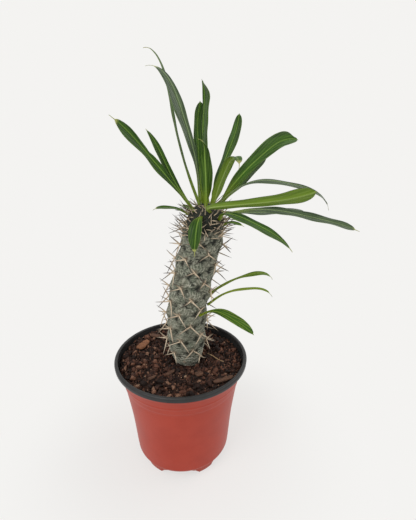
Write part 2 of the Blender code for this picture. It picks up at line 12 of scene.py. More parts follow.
import bmesh
import bpy
import numpy as np
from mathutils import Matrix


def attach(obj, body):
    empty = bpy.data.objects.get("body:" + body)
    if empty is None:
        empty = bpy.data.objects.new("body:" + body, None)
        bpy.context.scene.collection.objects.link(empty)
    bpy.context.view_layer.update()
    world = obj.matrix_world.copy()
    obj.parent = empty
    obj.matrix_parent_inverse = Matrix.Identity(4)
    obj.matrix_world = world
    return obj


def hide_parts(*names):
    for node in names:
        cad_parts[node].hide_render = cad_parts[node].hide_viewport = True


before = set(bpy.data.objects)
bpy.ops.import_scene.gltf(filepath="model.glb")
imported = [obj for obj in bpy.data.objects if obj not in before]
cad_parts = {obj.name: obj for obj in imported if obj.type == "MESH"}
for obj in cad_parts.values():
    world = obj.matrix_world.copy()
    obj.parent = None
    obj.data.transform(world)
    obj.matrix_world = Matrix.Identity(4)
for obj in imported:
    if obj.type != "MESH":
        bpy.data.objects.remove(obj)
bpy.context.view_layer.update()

Array = np.ndarray
Colour = tuple[float, float, float]

MM = 0.001
BODY = "root"
SEAT_GAP = 0.3  # between pieces that touch
log = logging.getLogger("pachypodium")


class Slot(str, Enum):
    """Names of material slots."""

    POT = "pot"
    SOIL = "soil"
    STEM = "stem"
    LEAF = "leaf"
    SIDE_LEAF = "side_leaf"
    BARK = "bark"
    FIBRE = "fibre"


# ---------------------------------------------------------------- surfaces


def ease(value: Array) -> Array:
    """0 to 1 with a level start and end: 3v squared less 2v cubed, on v held within 0 to 1."""
    value = np.clip(value, 0.0, 1.0)
    return value * value * (3.0 - 2.0 * value)


def flowing(place: Array, knots: tuple[float, ...], values: tuple[float, ...]) -> Array:
    """A smooth curve through the values at the knots: cubic pieces that share their slopes."""
    knots, values = np.asarray(knots), np.asarray(values)
    slopes = np.gradient(values, knots)
    step = np.clip(np.searchsorted(knots, place, side="right") - 1, 0, len(knots) - 2)
    gap = knots[step + 1] - knots[step]
    t = (place - knots[step]) / gap
    start = values[step] * (1.0 + 2.0 * t) + slopes[step] * gap * t
    end = values[step + 1] * (3.0 - 2.0 * t) - slopes[step + 1] * gap * (1.0 - t)
    return start * (1.0 - t) ** 2 + end * t**2


def hill(value: Array, width: float) -> Array:
    """A bell of height 1 about 0: e to the minus square of value over width."""
    return np.exp(-((value / width) ** 2))


def unit(vectors: Array) -> Array:
    """The same directions with length 1."""
    return vectors / np.linalg.norm(vectors, axis=-1, keepdims=True)


@dataclass
class Surface:
    """A closed skin in millimetres: its points, its faces and what its finish reads at each point."""

    points: Array
    quads: Array
    triangles: Array
    values: dict[str, Array] = field(default_factory=dict)
    finish_of_quad: Array | None = None

    def mesh(self, name: str, crease_angle: float = 180.0) -> bpy.types.Mesh:
        """Puts the skin into a smooth-shaded mesh.

        Args:
            name: The mesh's name.
            crease_angle: Edges that turn by more than this many degrees are shaded sharp.

        Returns:
            The mesh, in metres, with each value as a point attribute.
        """
        mesh = bpy.data.meshes.new(name)
        corners = np.concatenate([self.quads.ravel(), self.triangles.ravel()]).astype(np.int32)
        quad_starts = np.arange(len(self.quads)) * 4
        triangle_starts = len(self.quads) * 4 + np.arange(len(self.triangles)) * 3
        mesh.vertices.add(len(self.points))
        mesh.vertices.foreach_set("co", (self.points * MM).astype(np.float32).ravel())
        mesh.loops.add(len(corners))
        mesh.loops.foreach_set("vertex_index", corners)
        mesh.polygons.add(len(self.quads) + len(self.triangles))
        starts = np.concatenate([quad_starts, triangle_starts]).astype(np.int32)
        mesh.polygons.foreach_set("loop_start", starts)
        if self.finish_of_quad is not None:
            spare = np.zeros(len(self.triangles), np.int32)
            finishes = np.concatenate([self.finish_of_quad, spare]).astype(np.int32)
            mesh.polygons.foreach_set("material_index", finishes)
        mesh.update(calc_edges=True)
        mesh.validate()
        for label, value in self.values.items():
            kind = "FLOAT_VECTOR" if value.ndim == 2 else "FLOAT"
            made = mesh.attributes.new(label, kind, "POINT")
            made.data.foreach_set("vector" if value.ndim == 2 else "value", value.astype(np.float32).ravel())
        mesh.shade_smooth()
        if crease_angle < 180.0:
            mesh.set_sharp_from_angle(angle=math.radians(crease_angle))
        return mesh


def loft_faces(rings: int, around: int) -> tuple[Array, Array]:
    """Faces of a stack of rings that a pole closes at each end.

    Point 0 is the first pole, step s of ring r is point 1 + r * around + s, and the last point is the
    second pole. Faces point outwards where a ring turns anticlockwise about the way the stack goes.

    Args:
        rings: How many rings there are.
        around: How many points a ring has.

    Returns:
        The four-sided faces, ring by ring, and the triangles at the poles.
    """
    ring, step = np.meshgrid(np.arange(rings - 1), np.arange(around), indexing="ij")
    after = (step + 1) % around
    low = 1 + ring * around
    high = low + around
    quads = np.stack([low + step, low + after, high + after, high + step], axis=-1).reshape(-1, 4)
    step = np.arange(around)
    after = (step + 1) % around
    last = 1 + rings * around
    foot = np.stack([0 * step, 1 + after, 1 + step], axis=-1)
    head = np.stack([0 * step + last, last - around + step, last - around + after], axis=-1)
    return quads, np.concatenate([foot, head])


def loft(rings: Array, first: Array, last: Array) -> Surface:
    """A closed skin through rings of points, (rings, around, 3), with a pole before and after them."""
    quads, triangles = loft_faces(rings.shape[0], rings.shape[1])
    points = np.concatenate([np.reshape(first, (1, 3)), rings.reshape(-1, 3), np.reshape(last, (1, 3))])
    return Surface(points, quads, triangles)


def many(points: Array, quads: Array, triangles: Array) -> Surface:
    """Many skins of one make, (copies, points, 3), as one surface: the faces repeat copy by copy."""
    copies, stride = points.shape[:2]
    shift = np.arange(copies)[:, None, None] * stride
    return Surface(
        points.reshape(-1, 3),
        (quads[None] + shift).reshape(-1, 4),
        (triangles[None] + shift).reshape(-1, 3),
    )


def taper_tubes(paths: Array, radii: Array, around: int) -> Surface:
    """Round tubes along paths, closed to a pole at both ends.

    A ring's point is its path point + radius * (cos(turn) * across + sin(turn) * third), where across is
    level and third completes the frame about the tube's own way.

    Args:
        paths: (tubes, steps, 3) points.
        radii: (tubes, steps) radii.
        around: How many points a ring has.

    Returns:
        The tubes as one surface.
    """
    way = unit(np.gradient(paths, axis=1).mean(axis=1))
    side = np.where(np.abs(way[:, 2:]) > 0.9, (1.0, 0.0, 0.0), (0.0, 0.0, 1.0))
    across = unit(np.cross(way, side))
    third = np.cross(way, across)
    turn = np.linspace(0.0, 2.0 * math.pi, around, endpoint=False)
    spoke = across[:, None] * np.cos(turn)[None, :, None] + third[:, None] * np.sin(turn)[None, :, None]
    rings = paths[:, :, None, :] + radii[:, :, None, None] * spoke[:, None, :, :]
    tubes, steps = paths.shape[:2]
    points = np.concatenate([paths[:, :1], rings.reshape(tubes, steps * around, 3), paths[:, -1:]], axis=1)
    return many(points, *loft_faces(steps, around))


def tube_values(values: Array, around: int) -> Array:
    """Values given at a tube's steps, (tubes, steps), as one for each of its points."""
    body = np.repeat(values, around, axis=1)
    return np.concatenate([values[:, :1], body, values[:, -1:]], axis=1).ravel()


def ball(detail: int) -> tuple[Array, Array]:
    """Points and triangles of a round ball of radius 1."""
    shape = bmesh.new()
    bmesh.ops.create_icosphere(shape, subdivisions=detail, radius=1.0)
    points = np.array([tuple(vertex.co) for vertex in shape.verts])
    triangles = np.array([[vertex.index for vertex in face.verts] for face in shape.faces])
    shape.free()
    return points, triangles


class Lattice:
    """Smooth noise from -1 to 1: random values on a square lattice, eased between the corners."""

    SIZE = 64

    def __init__(self, seed: int) -> None:
        """Draws the lattice's values."""
        self.table = np.random.default_rng(seed).uniform(-1.0, 1.0, (self.SIZE, self.SIZE))

    def at(self, x: Array, y: Array) -> Array:
        """The noise at a place counted in cells: each corner's value times the eased nearness to it."""
        column = np.floor(x).astype(int)
        row = np.floor(y).astype(int)
        right = ease(x - column)
        up = ease(y - row)
        size = self.SIZE
        a = self.table[row % size, column % size]
        b = self.table[row % size, (column + 1) % size]
        c = self.table[(row + 1) % size, column % size]
        d = self.table[(row + 1) % size, (column + 1) % size]
        return (a * (1 - right) + b * right) * (1 - up) + (c * (1 - right) + d * right) * up


def random_turns(rng: np.random.Generator, count: int) -> Array:
    """(count, 3, 3) random rotations, from random unit quaternions."""
    w, x, y, z = unit(rng.normal(size=(count, 4))).T
    rows = [
        [1 - 2 * (y * y + z * z), 2 * (x * y - z * w), 2 * (x * z + y * w)],
        [2 * (x * y + z * w), 1 - 2 * (x * x + z * z), 2 * (y * z - x * w)],
        [2 * (x * z - y * w), 2 * (y * z + x * w), 1 - 2 * (x * x + y * y)],
    ]
    return np.moveaxis(np.array(rows), 2, 0)


def place_piece(
    name: str, mesh: bpy.types.Mesh, finishes: list[bpy.types.Material], nodes: list[str]
) -> bpy.types.Object:
    """Adds a piece of the plant, which rides on the frame and stands for its CAD nodes.

    Args:
        name: The piece's name.
        mesh: Its mesh, with its place in it.
        finishes: Its materials, in the order of its faces' indices.
        nodes: The CAD nodes that it stands for.

    Returns:
        The piece.
    """
    piece = bpy.data.objects.new(name, mesh)
    bpy.context.scene.collection.objects.link(piece)
    if not mesh.materials:
        for finish in finishes:
            mesh.materials.append(finish)
    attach(piece, BODY)
    if nodes:
        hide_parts(*nodes)
    log.info("%s: %d faces", name, len(mesh.polygons))
    return piece


# ---------------------------------------------------------------- shader kit


class Signal:
    """A shader socket, on which Python arithmetic adds Math nodes."""

    def __init__(self, recipe: "Recipe", socket: bpy.types.NodeSocket) -> None:
        """Wraps an output socket of the recipe's tree."""
        self.recipe = recipe
        self.socket = socket

    def math(self, operation: str, *others: "Signal | float") -> "Signal":
        """A Math node on this signal and the values after it."""
        return self.recipe.node("ShaderNodeMath", {"operation": operation}, self, *others)

    def __add__(self, other: "Signal | float") -> "Signal":
        """This plus the other."""
        return self.math("ADD", other)

    def __radd__(self, other: float) -> "Signal":
        """A number plus this."""
        return self.math("ADD", other)

    def __sub__(self, other: "Signal | float") -> "Signal":
        """This less the other."""
        return self.math("SUBTRACT", other)

    def __rsub__(self, other: float) -> "Signal":
        """A number less this."""
        return self.recipe.node("ShaderNodeMath", {"operation": "SUBTRACT"}, other, self)

    def __mul__(self, other: "Signal | float") -> "Signal":
        """This times the other."""
        return self.math("MULTIPLY", other)

    def __rmul__(self, other: float) -> "Signal":
        """A number times this."""
        return self.math("MULTIPLY", other)

    def __truediv__(self, other: "Signal | float") -> "Signal":
        """This over the other."""
        return self.math("DIVIDE", other)

    def __abs__(self) -> "Signal":
        """This without its sign."""
        return self.math("ABSOLUTE")

    def between(self, low: float, high: float) -> "Signal":
        """0 up to low, 1 from high on, eased between them."""
        return self.recipe.node(
            "ShaderNodeMapRange", {"interpolation_type": "SMOOTHSTEP"}, self, low, high, 0.0, 1.0
        )

    def held(self) -> "Signal":
        """This held within 0 to 1."""
        return self.recipe.node("ShaderNodeClamp", {}, self)


class Recipe:
    """A material's or the world's node tree in the making, and the nodes that the finishes share."""

    def __init__(self, holder: bpy.types.ID) -> None:
        """Starts an empty node tree.

        Args:
            holder: The material or the world that keeps the tree.
        """
        self.holder = holder
        holder.use_nodes = True
        self.tree = holder.node_tree
        self.tree.nodes.clear()

    def node(
        self,
        kind: str,
        settings: dict[str, object] | None = None,
        *values: object,
        named: dict[object, object] | None = None,
        output: int | str = 0,
    ) -> Signal:
        """Adds any node.

        Args:
            kind: The node's type.
            settings: Its properties, set first. "stops" are a ramp's (place, colour) pairs.
            values: Numbers, colours or signals for its first sockets, in order.
            named: More of them by socket name or number.
            output: The output to use.

        Returns:
            The output as a signal.
        """
        made = self.tree.nodes.new(kind)
        for label, value in (settings or {}).items():
            if label == "stops":
                self._set_stops(made.color_ramp, value)
            else:
                setattr(made, label, value)
        for key, value in [*enumerate(values), *(named or {}).items()]:
            socket = made.inputs[key]
            if isinstance(value, Signal):
                self.tree.links.new(value.socket, socket)
            elif isinstance(value, tuple) and socket.type == "RGBA":
                socket.default_value = (*value, 1.0)
            else:
                socket.default_value = value
        return Signal(self, made.outputs[output])

    @staticmethod
    def _set_stops(ramp: bpy.types.ColorRamp, stops: list[tuple[float, Colour]]) -> None:
        """Gives a ramp its stops."""
        while len(ramp.elements) < len(stops):
            ramp.elements.new(1.0)
        for element, (place, colour) in zip(ramp.elements, stops):
            element.position = place
            element.color = (*colour, 1.0)

    def place(self, scale: tuple[float, float, float] = (1.0, 1.0, 1.0)) -> Signal:
        """The point in the object's own frame, stretched by scale."""
        spot = self.node("ShaderNodeTexCoord", output="Object")
        if scale == (1.0, 1.0, 1.0):
            return spot
        sockets = {"Vector": spot, "Scale": scale}
        return self.node("ShaderNodeMapping", {"vector_type": "POINT"}, named=sockets)

    def parts(self, vector: Signal) -> tuple[Signal, Signal, Signal]:
        """A vector's three numbers."""
        split = self.node("ShaderNodeSeparateXYZ", {}, vector)
        outputs = split.socket.node.outputs
        return tuple(Signal(self, outputs[axis]) for axis in range(3))

    def value(self, name: str) -> Signal:
        """A number that the mesh carries at each point."""
        return self.node("ShaderNodeAttribute", {"attribute_name": name}, output="Fac")

    def vector(self, name: str) -> tuple[Signal, Signal, Signal]:
        """Three numbers that the mesh carries at each point."""
        return self.parts(self.node("ShaderNodeAttribute", {"attribute_name": name}, output="Vector"))

    def noise(self, vector: Signal, size: float, detail: float = 3.0, roughness: float = 0.5) -> Signal:
        """Cloudy noise from 0 to 1 with lumps of this size in millimetres."""
        sockets = {"Vector": vector, "Scale": 1.0 / (size * MM), "Detail": detail, "Roughness": roughness}
        return self.node("ShaderNodeTexNoise", {}, named=sockets)

    def cells(self, vector: Signal, size: float, feature: str = "F1", output: str = "Distance") -> Signal:
        """Cell noise with cells of this size in millimetres."""
        sockets = {"Vector": vector, "Scale": 1.0 / (size * MM)}
        return self.node("ShaderNodeTexVoronoi", {"feature": feature}, named=sockets, output=output)

    def mix(self, share: Signal | float, low: object, high: object, blend: str = "MIX") -> Signal:
        """A blend of two colours: low where share is 0 and high where it is 1."""
        settings = {"data_type": "RGBA", "blend_type": blend}
        return self.node("ShaderNodeMix", settings, named={0: share, 6: low, 7: high}, output=2)

    def ramp(self, signal: Signal, stops: list[tuple[float, Colour]]) -> Signal:
        """A colour read from stops."""
        return self.node("ShaderNodeValToRGB", {"stops": stops}, signal)

    def bump(self, height: Signal, depth: float, under: Signal | None = None) -> Signal:
        """The normal of a relief that is depth millimetres deep where height goes from 0 to 1."""
        sockets = {"Strength": 1.0, "Distance": depth * MM, "Height": height}
        if under is not None:
            sockets["Normal"] = under
        return self.node("ShaderNodeBump", {}, named=sockets)

    def finished(
        self, base: object, roughness: object, normal: Signal | None = None, **uniform: object
    ) -> bpy.types.Material:
        """Closes the recipe with one Principled shader.

        Args:
            base: The base colour.
            roughness: The roughness.
            normal: The bumped normal.
            uniform: Other sockets that are the same all over, with _ for the blanks in their names.

        Returns:
            The material.
        """
        sockets: dict[object, object] = {"Base Color": base, "Roughness": roughness}
        if normal is not None:
            sockets["Normal"] = normal
        for label, value in uniform.items():
            sockets[label.replace("_", " ")] = value
        return self.closed(self.node("ShaderNodeBsdfPrincipled", {}, named=sockets))

    def closed(self, shader: Signal) -> bpy.types.Material:
        """Leads a shader to the material's output and returns the material."""
        end = self.tree.nodes.new("ShaderNodeOutputMaterial")
        self.tree.links.new(shader.socket, end.inputs["Surface"])
        return self.holder


# ---------------------------------------------------------------- finishes


@dataclass(frozen=True)
class MouldedPlastic:
    """Smooth moulded plastic: cloudy pigment, faint flow lines that run round it and a fine peel."""

    name: str
    colour: Colour
    cloud: Colour
    dust_colour: Colour
    roughness: float
    dust_below: float

    def material(self) -> bpy.types.Material:
        """Pigment and dust mixed over the base, with the peel and the flow lines as bump."""
        recipe = Recipe(bpy.data.materials.new(self.name))
        place = recipe.place()
        pigment = recipe.noise(place, 18.0, 4.0, 0.6)
        flow = recipe.noise(recipe.place((0.05, 0.05, 1.0)), 1.6, 2.0)
        scuff = recipe.noise(recipe.place((1.0, 1.0, 0.3)), 4.0, 5.0, 0.65).between(0.56, 0.74)
        height = recipe.parts(place)[2]
        low = 1.0 - height.between(0.0, self.dust_below * MM)
        dust = (low * recipe.noise(place, 5.0, 5.0, 0.7).between(0.4, 0.75) * 0.5 + scuff * 0.06).held()
        base = recipe.mix(pigment.between(0.3, 0.7), self.colour, self.cloud)
        base = recipe.mix(dust, base, self.dust_colour)
        peel = recipe.noise(place, 0.7, 2.0)
        roughness = self.roughness + (pigment - 0.5) * 0.12 + scuff * 0.1 + dust * 0.25
        normal = recipe.bump(peel * 0.35 + flow * 0.65, 0.05)
        return recipe.finished(base, roughness, normal, Specular_IOR_Level=0.3)


@dataclass(frozen=True)
class PeatFinish:
    """Damp dark potting mix, each crumb in its own tone, with a gritty skin."""

    name: str
    dark: Colour
    middle: Colour
    russet: Colour
    pale: Colour

    def material(self) -> bpy.types.Material:
        """Colour from each crumb's tone and fine noise, with painted shade where depth is high, matt with a
        gritty bump.
        """
        recipe = Recipe(bpy.data.materials.new(self.name))
        place = recipe.place()
        tone = recipe.value("tone")
        grit = recipe.noise(place, 0.9, 5.0, 0.7)
        stops = [(0.0, self.dark), (0.45, self.middle), (0.8, self.russet), (0.97, self.pale)]
        base = recipe.ramp((tone * 0.75 + (grit - 0.32) * 0.62).held(), stops)
        # depth is painted shade: it draws the colour towards black in the bed's hollows, and on the crumbs it
        # only darkens the darkest crumbs further.
        shade = recipe.value("depth")
        base = recipe.mix(shade, base, (0.006, 0.004, 0.003))
        roughness = 0.42 + grit * 0.35
        normal = recipe.bump(grit * 0.7 + recipe.noise(place, 0.35, 2.0) * 0.3, 0.7)
        return recipe.finished(base, roughness, normal, Specular_IOR_Level=0.22)


@dataclass(frozen=True)
class SkinFinish:
    """The stem's corky skin: grey-green with pale scurf, painted shade in its creases, hollows and grooves,
    and darker towards the crown's top.
    """

    name: str
    green: Colour
    olive: Colour
    scurf: Colour
    # crease is the colour of the painted shade.
    crease: Colour
    cork: Colour

    def material(self) -> bpy.types.Material:
        """Scurf on the ridges and painted shade in the grooves, creases and hollows, over two greens, with
        wrinkles as bump.
        """
        recipe = Recipe(bpy.data.materials.new(self.name))
        # hollow carries the painted shadow of the creases and of the hollows beside each areole.
        hollow, areole, crown = recipe.vector("skin")
        ridge = recipe.value("ridge")
        place = recipe.place()
        level = recipe.place((1.0, 1.0, 3.2))
        blotch = recipe.noise(place, 7.0, 4.0, 0.6)
        wrinkle = recipe.noise(level, 3.2, 5.0, 0.65)
        fine = recipe.noise(level, 1.1, 4.0, 0.7)
        base = recipe.mix(blotch.between(0.35, 0.65), self.green, self.olive)
        high = (ridge * 0.5 + (fine - 0.5) * 2.2 + crown * 0.1 + 0.18).between(0.25, 1.0)
        flakes = (high * 0.8 + wrinkle.between(0.52, 0.64) * 0.35).held()
        base = recipe.mix(flakes * (1.0 - crown * 0.4), base, self.scurf)
        base = recipe.mix(areole, base, self.cork)
        # low is painted shade in the grooves between the ridges, and pit paints noise patches dark as shaded
        # hollows. dark adds both to the painted shadow and darkens towards the crown's top.
        low = 1.0 - (ridge * 0.5 + 0.14 + (wrinkle - 0.5) * 2.6).between(0.0, 0.34)
        pit = recipe.noise(level, 5.0, 3.0, 0.55).between(0.53, 0.62)
        dark = hollow * (1.0 + crown * 0.2) + low * (0.38 + crown * 0.08) + pit * (0.3 + crown * 0.3)
        dark = (dark + crown.between(0.88, 0.99)).held() * 0.97
        base = recipe.mix(dark, base, self.crease)
        relief = wrinkle * 0.6 + fine * 0.4
        roughness = 0.66 + flakes * 0.2
        return recipe.finished(base, roughness, recipe.bump(relief, 0.8), Specular_IOR_Level=0.3)


@dataclass(frozen=True)
class SpineFinish:
    """Dry woody spines: pale tan, greyer on old ones, dark at the tips and near the crown."""

    name: str
    pale: Colour
    tan: Colour
    dark: Colour

    def material(self) -> bpy.types.Material:
        """Colour runs from root to tip and with each spine's age."""
        recipe = Recipe(bpy.data.materials.new(self.name))
        along, age, darkness = recipe.vector("spine")
        streak = recipe.noise(recipe.place(), 1.3, 3.0)
        base = recipe.mix((age * 0.6 + streak * 0.5).held(), self.pale, self.tan)
        tip = along.between(0.6, 1.0) * 0.45 + (1.0 - along.between(0.0, 0.14)) * 0.25
        base = recipe.mix((tip + darkness * along.between(0.1, 0.8)).held(), base, self.dark)
        normal = recipe.bump(streak, 0.12)
        return recipe.finished(base, 0.55 + streak * 0.15, normal, Specular_IOR_Level=0.4)


@dataclass(frozen=True)
class LeafFinish:
    """A leathery leaf: glossy above, paler and yellower below, with a pale midrib and fine side veins, a
    painted sheen along its middle and painted shade towards its margins.
    """

    name: str
    upper: Colour
    upper_deep: Colour
    lower: Colour
    lower_deep: Colour
    rib: Colour
    stalk: Colour
    awn: Colour
    roughness: float
    gloss: float
    veins: float = 0.14
    fold: float = 0.28

    def material(self) -> bpy.types.Material:
        """Side, rib, stalk and awn masks mixed in turn, with veins as bump.

        The side veins leave the midrib at a narrow slant, so their place is the distance from the
        midrib less an eighth of the distance along the leaf.
        """
        recipe = Recipe(bpy.data.materials.new(self.name))
        across, share, above = recipe.vector("blade")
        sideways, distance, tone = recipe.vector("ruler")
        stalk, awn, rib_fade = recipe.vector("zones")
        place = recipe.place()
        off_rib = abs(sideways)
        lengthwise = recipe.node("ShaderNodeCombineXYZ", {}, sideways, distance * 0.05, tone * 9.0)
        band_sockets = {"Vector": lengthwise, "Scale": 0.8, "Detail": 3.0}
        band = recipe.node("ShaderNodeTexNoise", {}, named=band_sockets)
        slant = off_rib - distance * 0.13
        wander = recipe.noise(place, 4.0, 2.0) * 2.5
        vein = (slant * 2.9 + wander).math("SINE") * 0.5 + 0.5
        vein = vein * off_rib.between(0.6, 2.2)
        cloud = recipe.noise(place, 9.0, 4.0, 0.6)
        # middle is paler along the middle of the blade and darker towards the margins, where the deep colours
        # come through: a painted sheen and painted shade.
        middle = 1.0 - abs(across).between(0.2, 0.9)
        patch = cloud.between(0.3, 0.7) * 0.15 + band.between(0.4, 0.6) * 0.5 + middle * 0.55
        patch = (patch + (tone - 0.62) * 0.8).held()
        upper = recipe.mix(patch, self.upper_deep, self.upper)
        lower = recipe.mix(patch, self.lower_deep, self.lower)
        base = recipe.mix(above, lower, upper)
        base = recipe.mix(vein * self.veins, base, self.rib)
        margin = abs(across).between(0.86, 0.99) * 0.35
        rib = (1.0 - off_rib.between(0.3, 0.8)) * rib_fade
        base = recipe.mix((margin + rib * (0.95 - above * 0.2)).held(), base, self.rib)
        base = recipe.mix(stalk, base, self.stalk)
        base = recipe.mix(awn, base, self.awn)
        pores = recipe.noise(place, 0.5, 2.0)
        fold = off_rib * (above * 2.0 - 1.0) * self.fold
        relief = (vein * 0.6 + pores * 0.25 - rib * above * 0.5) * 0.14 + fold
        roughness = self.roughness + (1.0 - above) * 0.12 + (cloud - 0.5) * 0.12
        return recipe.finished(base, roughness, recipe.bump(relief, 1.0), Specular_IOR_Level=self.gloss)


@dataclass(frozen=True)
class BarkFinish:
    """Weathered bark and dry straw: streaks along the fibres."""

    name: str
    light: Colour
    dark: Colour
    stretch: tuple[float, float, float]

    def material(self) -> bpy.types.Material:
        """Streaky noise between two browns, with the same streaks as bump."""
        recipe = Recipe(bpy.data.materials.new(self.name))
        streak = recipe.noise(recipe.place(self.stretch), 1.4, 5.0, 0.65)
        tone = recipe.value("tone")
        base = recipe.mix((streak.between(0.3, 0.7) * 0.8 + tone * 0.4).held(), self.dark, self.light)
        return recipe.finished(base, 0.7 + streak * 0.2, recipe.bump(streak, 0.5), Specular_IOR_Level=0.35)


# ---------------------------------------------------------------- pot


@dataclass
class NurseryPot:
    """The thin two-colour pot: a turned section with five feet and five drain holes."""

    height: float = 106.0
    rim_radius: float = 60.0
    lip_height: float = 4.6
    lip_thickness: float = 3.2
    collar_foot_z: float = 83.0
    collar_foot_radius: float = 52.5
    body_top_radius: float = 51.9
    body_middle: tuple[float, float] = (47.4, 50.0)
    body_foot_z: float = 13.2
    body_foot_radius: float = 44.1
    body_corner: float = 5.0
    foot_top: tuple[float, float] = (40.2, 7.6)
    foot_ring_radius: float = 39.2
    foot_ring_inner: float = 32.0
    floor_underside_z: float = 8.4
    floor_z: float = 10.0
    wall: float = 1.4
    floor_corner: float = 4.5
    pad_radius: float = 12.0
    foot_count: int = 5
    foot_turn: float = 16.5
    notch_height: float = 8.0
    notch_width: float = 34.0
    drain_radius: float = 4.0
    drain_ring_radius: float = 19.5
    around: int = 216
    bead_height: float = 0.22
    bead_width: float = 0.9
    bead_heights: tuple[float, ...] = (98.2, 89.6)

    terracotta = MouldedPlastic(
        "terracotta_plastic", (0.405, 0.037, 0.015), (0.445, 0.047, 0.022), (0.45, 0.2, 0.14), 0.42, 16.0
    )
    black = MouldedPlastic(
        "black_plastic", (0.022, 0.022, 0.022), (0.034, 0.034, 0.034), (0.1, 0.07, 0.055), 0.4, 1.0
    )

    def inner_radius(self, z: Array | float) -> Array:
        """The pot's inner radius at height z, where the soil lies against it."""
        heights = (
            self.floor_z,
            self.body_foot_z + 2.0,
            self.collar_foot_z,
            self.collar_foot_z + 2.0,
            self.height - self.lip_height,
        )
        radii = (
            self.body_foot_radius - self.wall - self.floor_corner,
            self.body_foot_radius - self.wall,
            self.body_top_radius - self.wall,
            self.collar_foot_radius + 0.3 - self.wall,
            self.rim_radius - self.lip_thickness,
        )
        return np.interp(z, heights, radii)

    @staticmethod
    def arc(centre: tuple[float, float], radius: float, start: float, end: float, steps: int) -> list[Array]:
        """Points on an arc in the section's plane, angles in degrees."""
        angles = np.radians(np.linspace(start, end, steps))
        outwards = centre[0] + radius * np.cos(angles)
        upwards = centre[1] + radius * np.sin(angles)
        return list(np.stack([outwards, upwards], axis=1))

    @staticmethod
    def flowing(points: list[tuple[float, float]], steps: int) -> list[Array]:
        """A smooth curve through points: on each span, a cubic with slopes from the points either side."""
        spots = np.array(points, float)
        slopes = np.gradient(spots, axis=0)
        share = np.linspace(0.0, 1.0, steps, endpoint=False)[:, None]
        curve = []
        for step in range(len(spots) - 1):
            start, end = spots[step], spots[step + 1]
            settle = start * (2 * share**3 - 3 * share**2 + 1) + end * (3 * share**2 - 2 * share**3)
            leaving = slopes[step] * (share**3 - 2 * share**2 + share)
            arriving = slopes[step + 1] * (share**3 - share**2)
            curve += list(settle + (leaving + arriving))
        return curve + [spots[-1]]

    def outside(self) -> list[Array]:
        """The section from the foot ring up the body and the flared collar to under the lip."""
        ring, corner = self.foot_ring_radius, self.body_corner
        lip_low = self.height - self.lip_height
        top = self.foot_top
        foot = [(ring - 1.2, 0.0), (ring - 0.4, 0.25), (ring, 1.0)]
        foot += [
            (ring + (top[0] - ring) * rise, 1.0 + (top[1] - 1.0) * rise)
            for rise in (0.3, 0.62, 0.66, 1.0)
        ]
        points = [np.array(spot) for spot in foot]
        points += self.arc((self.body_foot_radius - corner, self.body_foot_z), corner, -75, 0, 12)
        body = [
            (self.body_foot_radius + 0.5, self.body_foot_z + 5.0),
            self.body_middle,
            (self.body_top_radius, self.collar_foot_z - 0.9),
        ]
        points += self.flowing(body, 14)
        collar = [
            (self.collar_foot_radius - 0.35, self.collar_foot_z - 0.2),
            (self.collar_foot_radius + 0.1, self.collar_foot_z + 0.8),
            (self.collar_foot_radius + 1.6, self.collar_foot_z + 7.5),
            (self.rim_radius - 4.1, self.collar_foot_z + 14.5),
            (self.rim_radius - 3.0, lip_low - 0.1),
        ]
        points += self.flowing(collar, 14)
        return points

    def lip(self) -> list[Array]:
        """The rolled lip: a short hook under it, a round outer face and a rounded top."""
        lip_low = self.height - self.lip_height
        points = [np.array([self.rim_radius - 2.2, lip_low - 0.05])]
        points += self.arc((self.rim_radius - 0.95, lip_low + 0.75), 0.75, -90, -10, 6)
        points += self.arc((self.rim_radius - 1.7, self.height - 1.7), 1.7, 0, 90, 9)
        points += self.arc((self.rim_radius - self.lip_thickness + 1.0, self.height - 1.0), 1.0, 90, 180, 6)
        return points

    def inside(self) -> list[Array]:
        """The section down the inner wall to the floor."""
        lip_low = self.height - self.lip_height
        heights = (lip_low, 92.0, self.collar_foot_z + 2.0, self.collar_foot_z, 50.0, self.body_foot_z + 2.0)
        points = [np.array([float(self.inner_radius(z)), z]) for z in heights]
        points.append(np.array([self.body_foot_radius - self.wall - self.floor_corner, self.floor_z]))
        return points + [np.array([30.0, self.floor_z]), np.array([10.0, self.floor_z])]

    def under(self) -> list[Array]:
        """The section under the pot, from the centre pad out to the foot ring."""
        spots = (
            (self.pad_radius, 0.0),
            (self.pad_radius + 1.0, self.floor_underside_z),
            (self.foot_ring_inner - 1.0, self.floor_underside_z),
            (self.foot_ring_inner, 0.0),
        )
        return [np.array(spot) for spot in spots]

    def surface(self) -> Surface:
        """The section turned about the axis: a ring at every point, raised into notches between the feet.

        A point d from a notch's middle line rises to at least h sqrt(1 - (2 d / w)^2), a low arch of
        height h and width w between two feet.
        """
        outer = self.under() + self.outside()
        black = self.lip() + self.inside()
        section = np.array(outer + black)
        beads = sum(hill(section[:, 1] - z, self.bead_width) for z in self.bead_heights)
        beads[len(outer) :] = 0.0
        section[:, 0] += beads * self.bead_height
        turn = np.linspace(0.0, 2.0 * math.pi, self.around, endpoint=False)
        radius, angle = np.meshgrid(section[:, 0], turn, indexing="ij")
        z = np.repeat(section[:, 1:], self.around, axis=1)
        pitch = 2.0 * math.pi / self.foot_count
        off_gap = (((angle - math.radians(self.foot_turn)) / pitch) % 1.0 - 0.5) * pitch
        from_gap = radius * np.abs(np.sin(off_gap))
        arch = self.notch_height * np.sqrt(np.clip(1.0 - (2.0 * from_gap / self.notch_width) ** 2, 0.0, 1.0))
        z = np.where(radius > self.pad_radius + 4.0, np.maximum(z, arch), z)
        rings = np.stack([radius * np.cos(angle), radius * np.sin(angle), z], axis=-1)
        shape = loft(rings, np.zeros(3), np.array([0.0, 0.0, self.floor_z]))
        shape.finish_of_quad = np.repeat((np.arange(len(section) - 1) >= len(outer)).astype(int), self.around)
        return shape

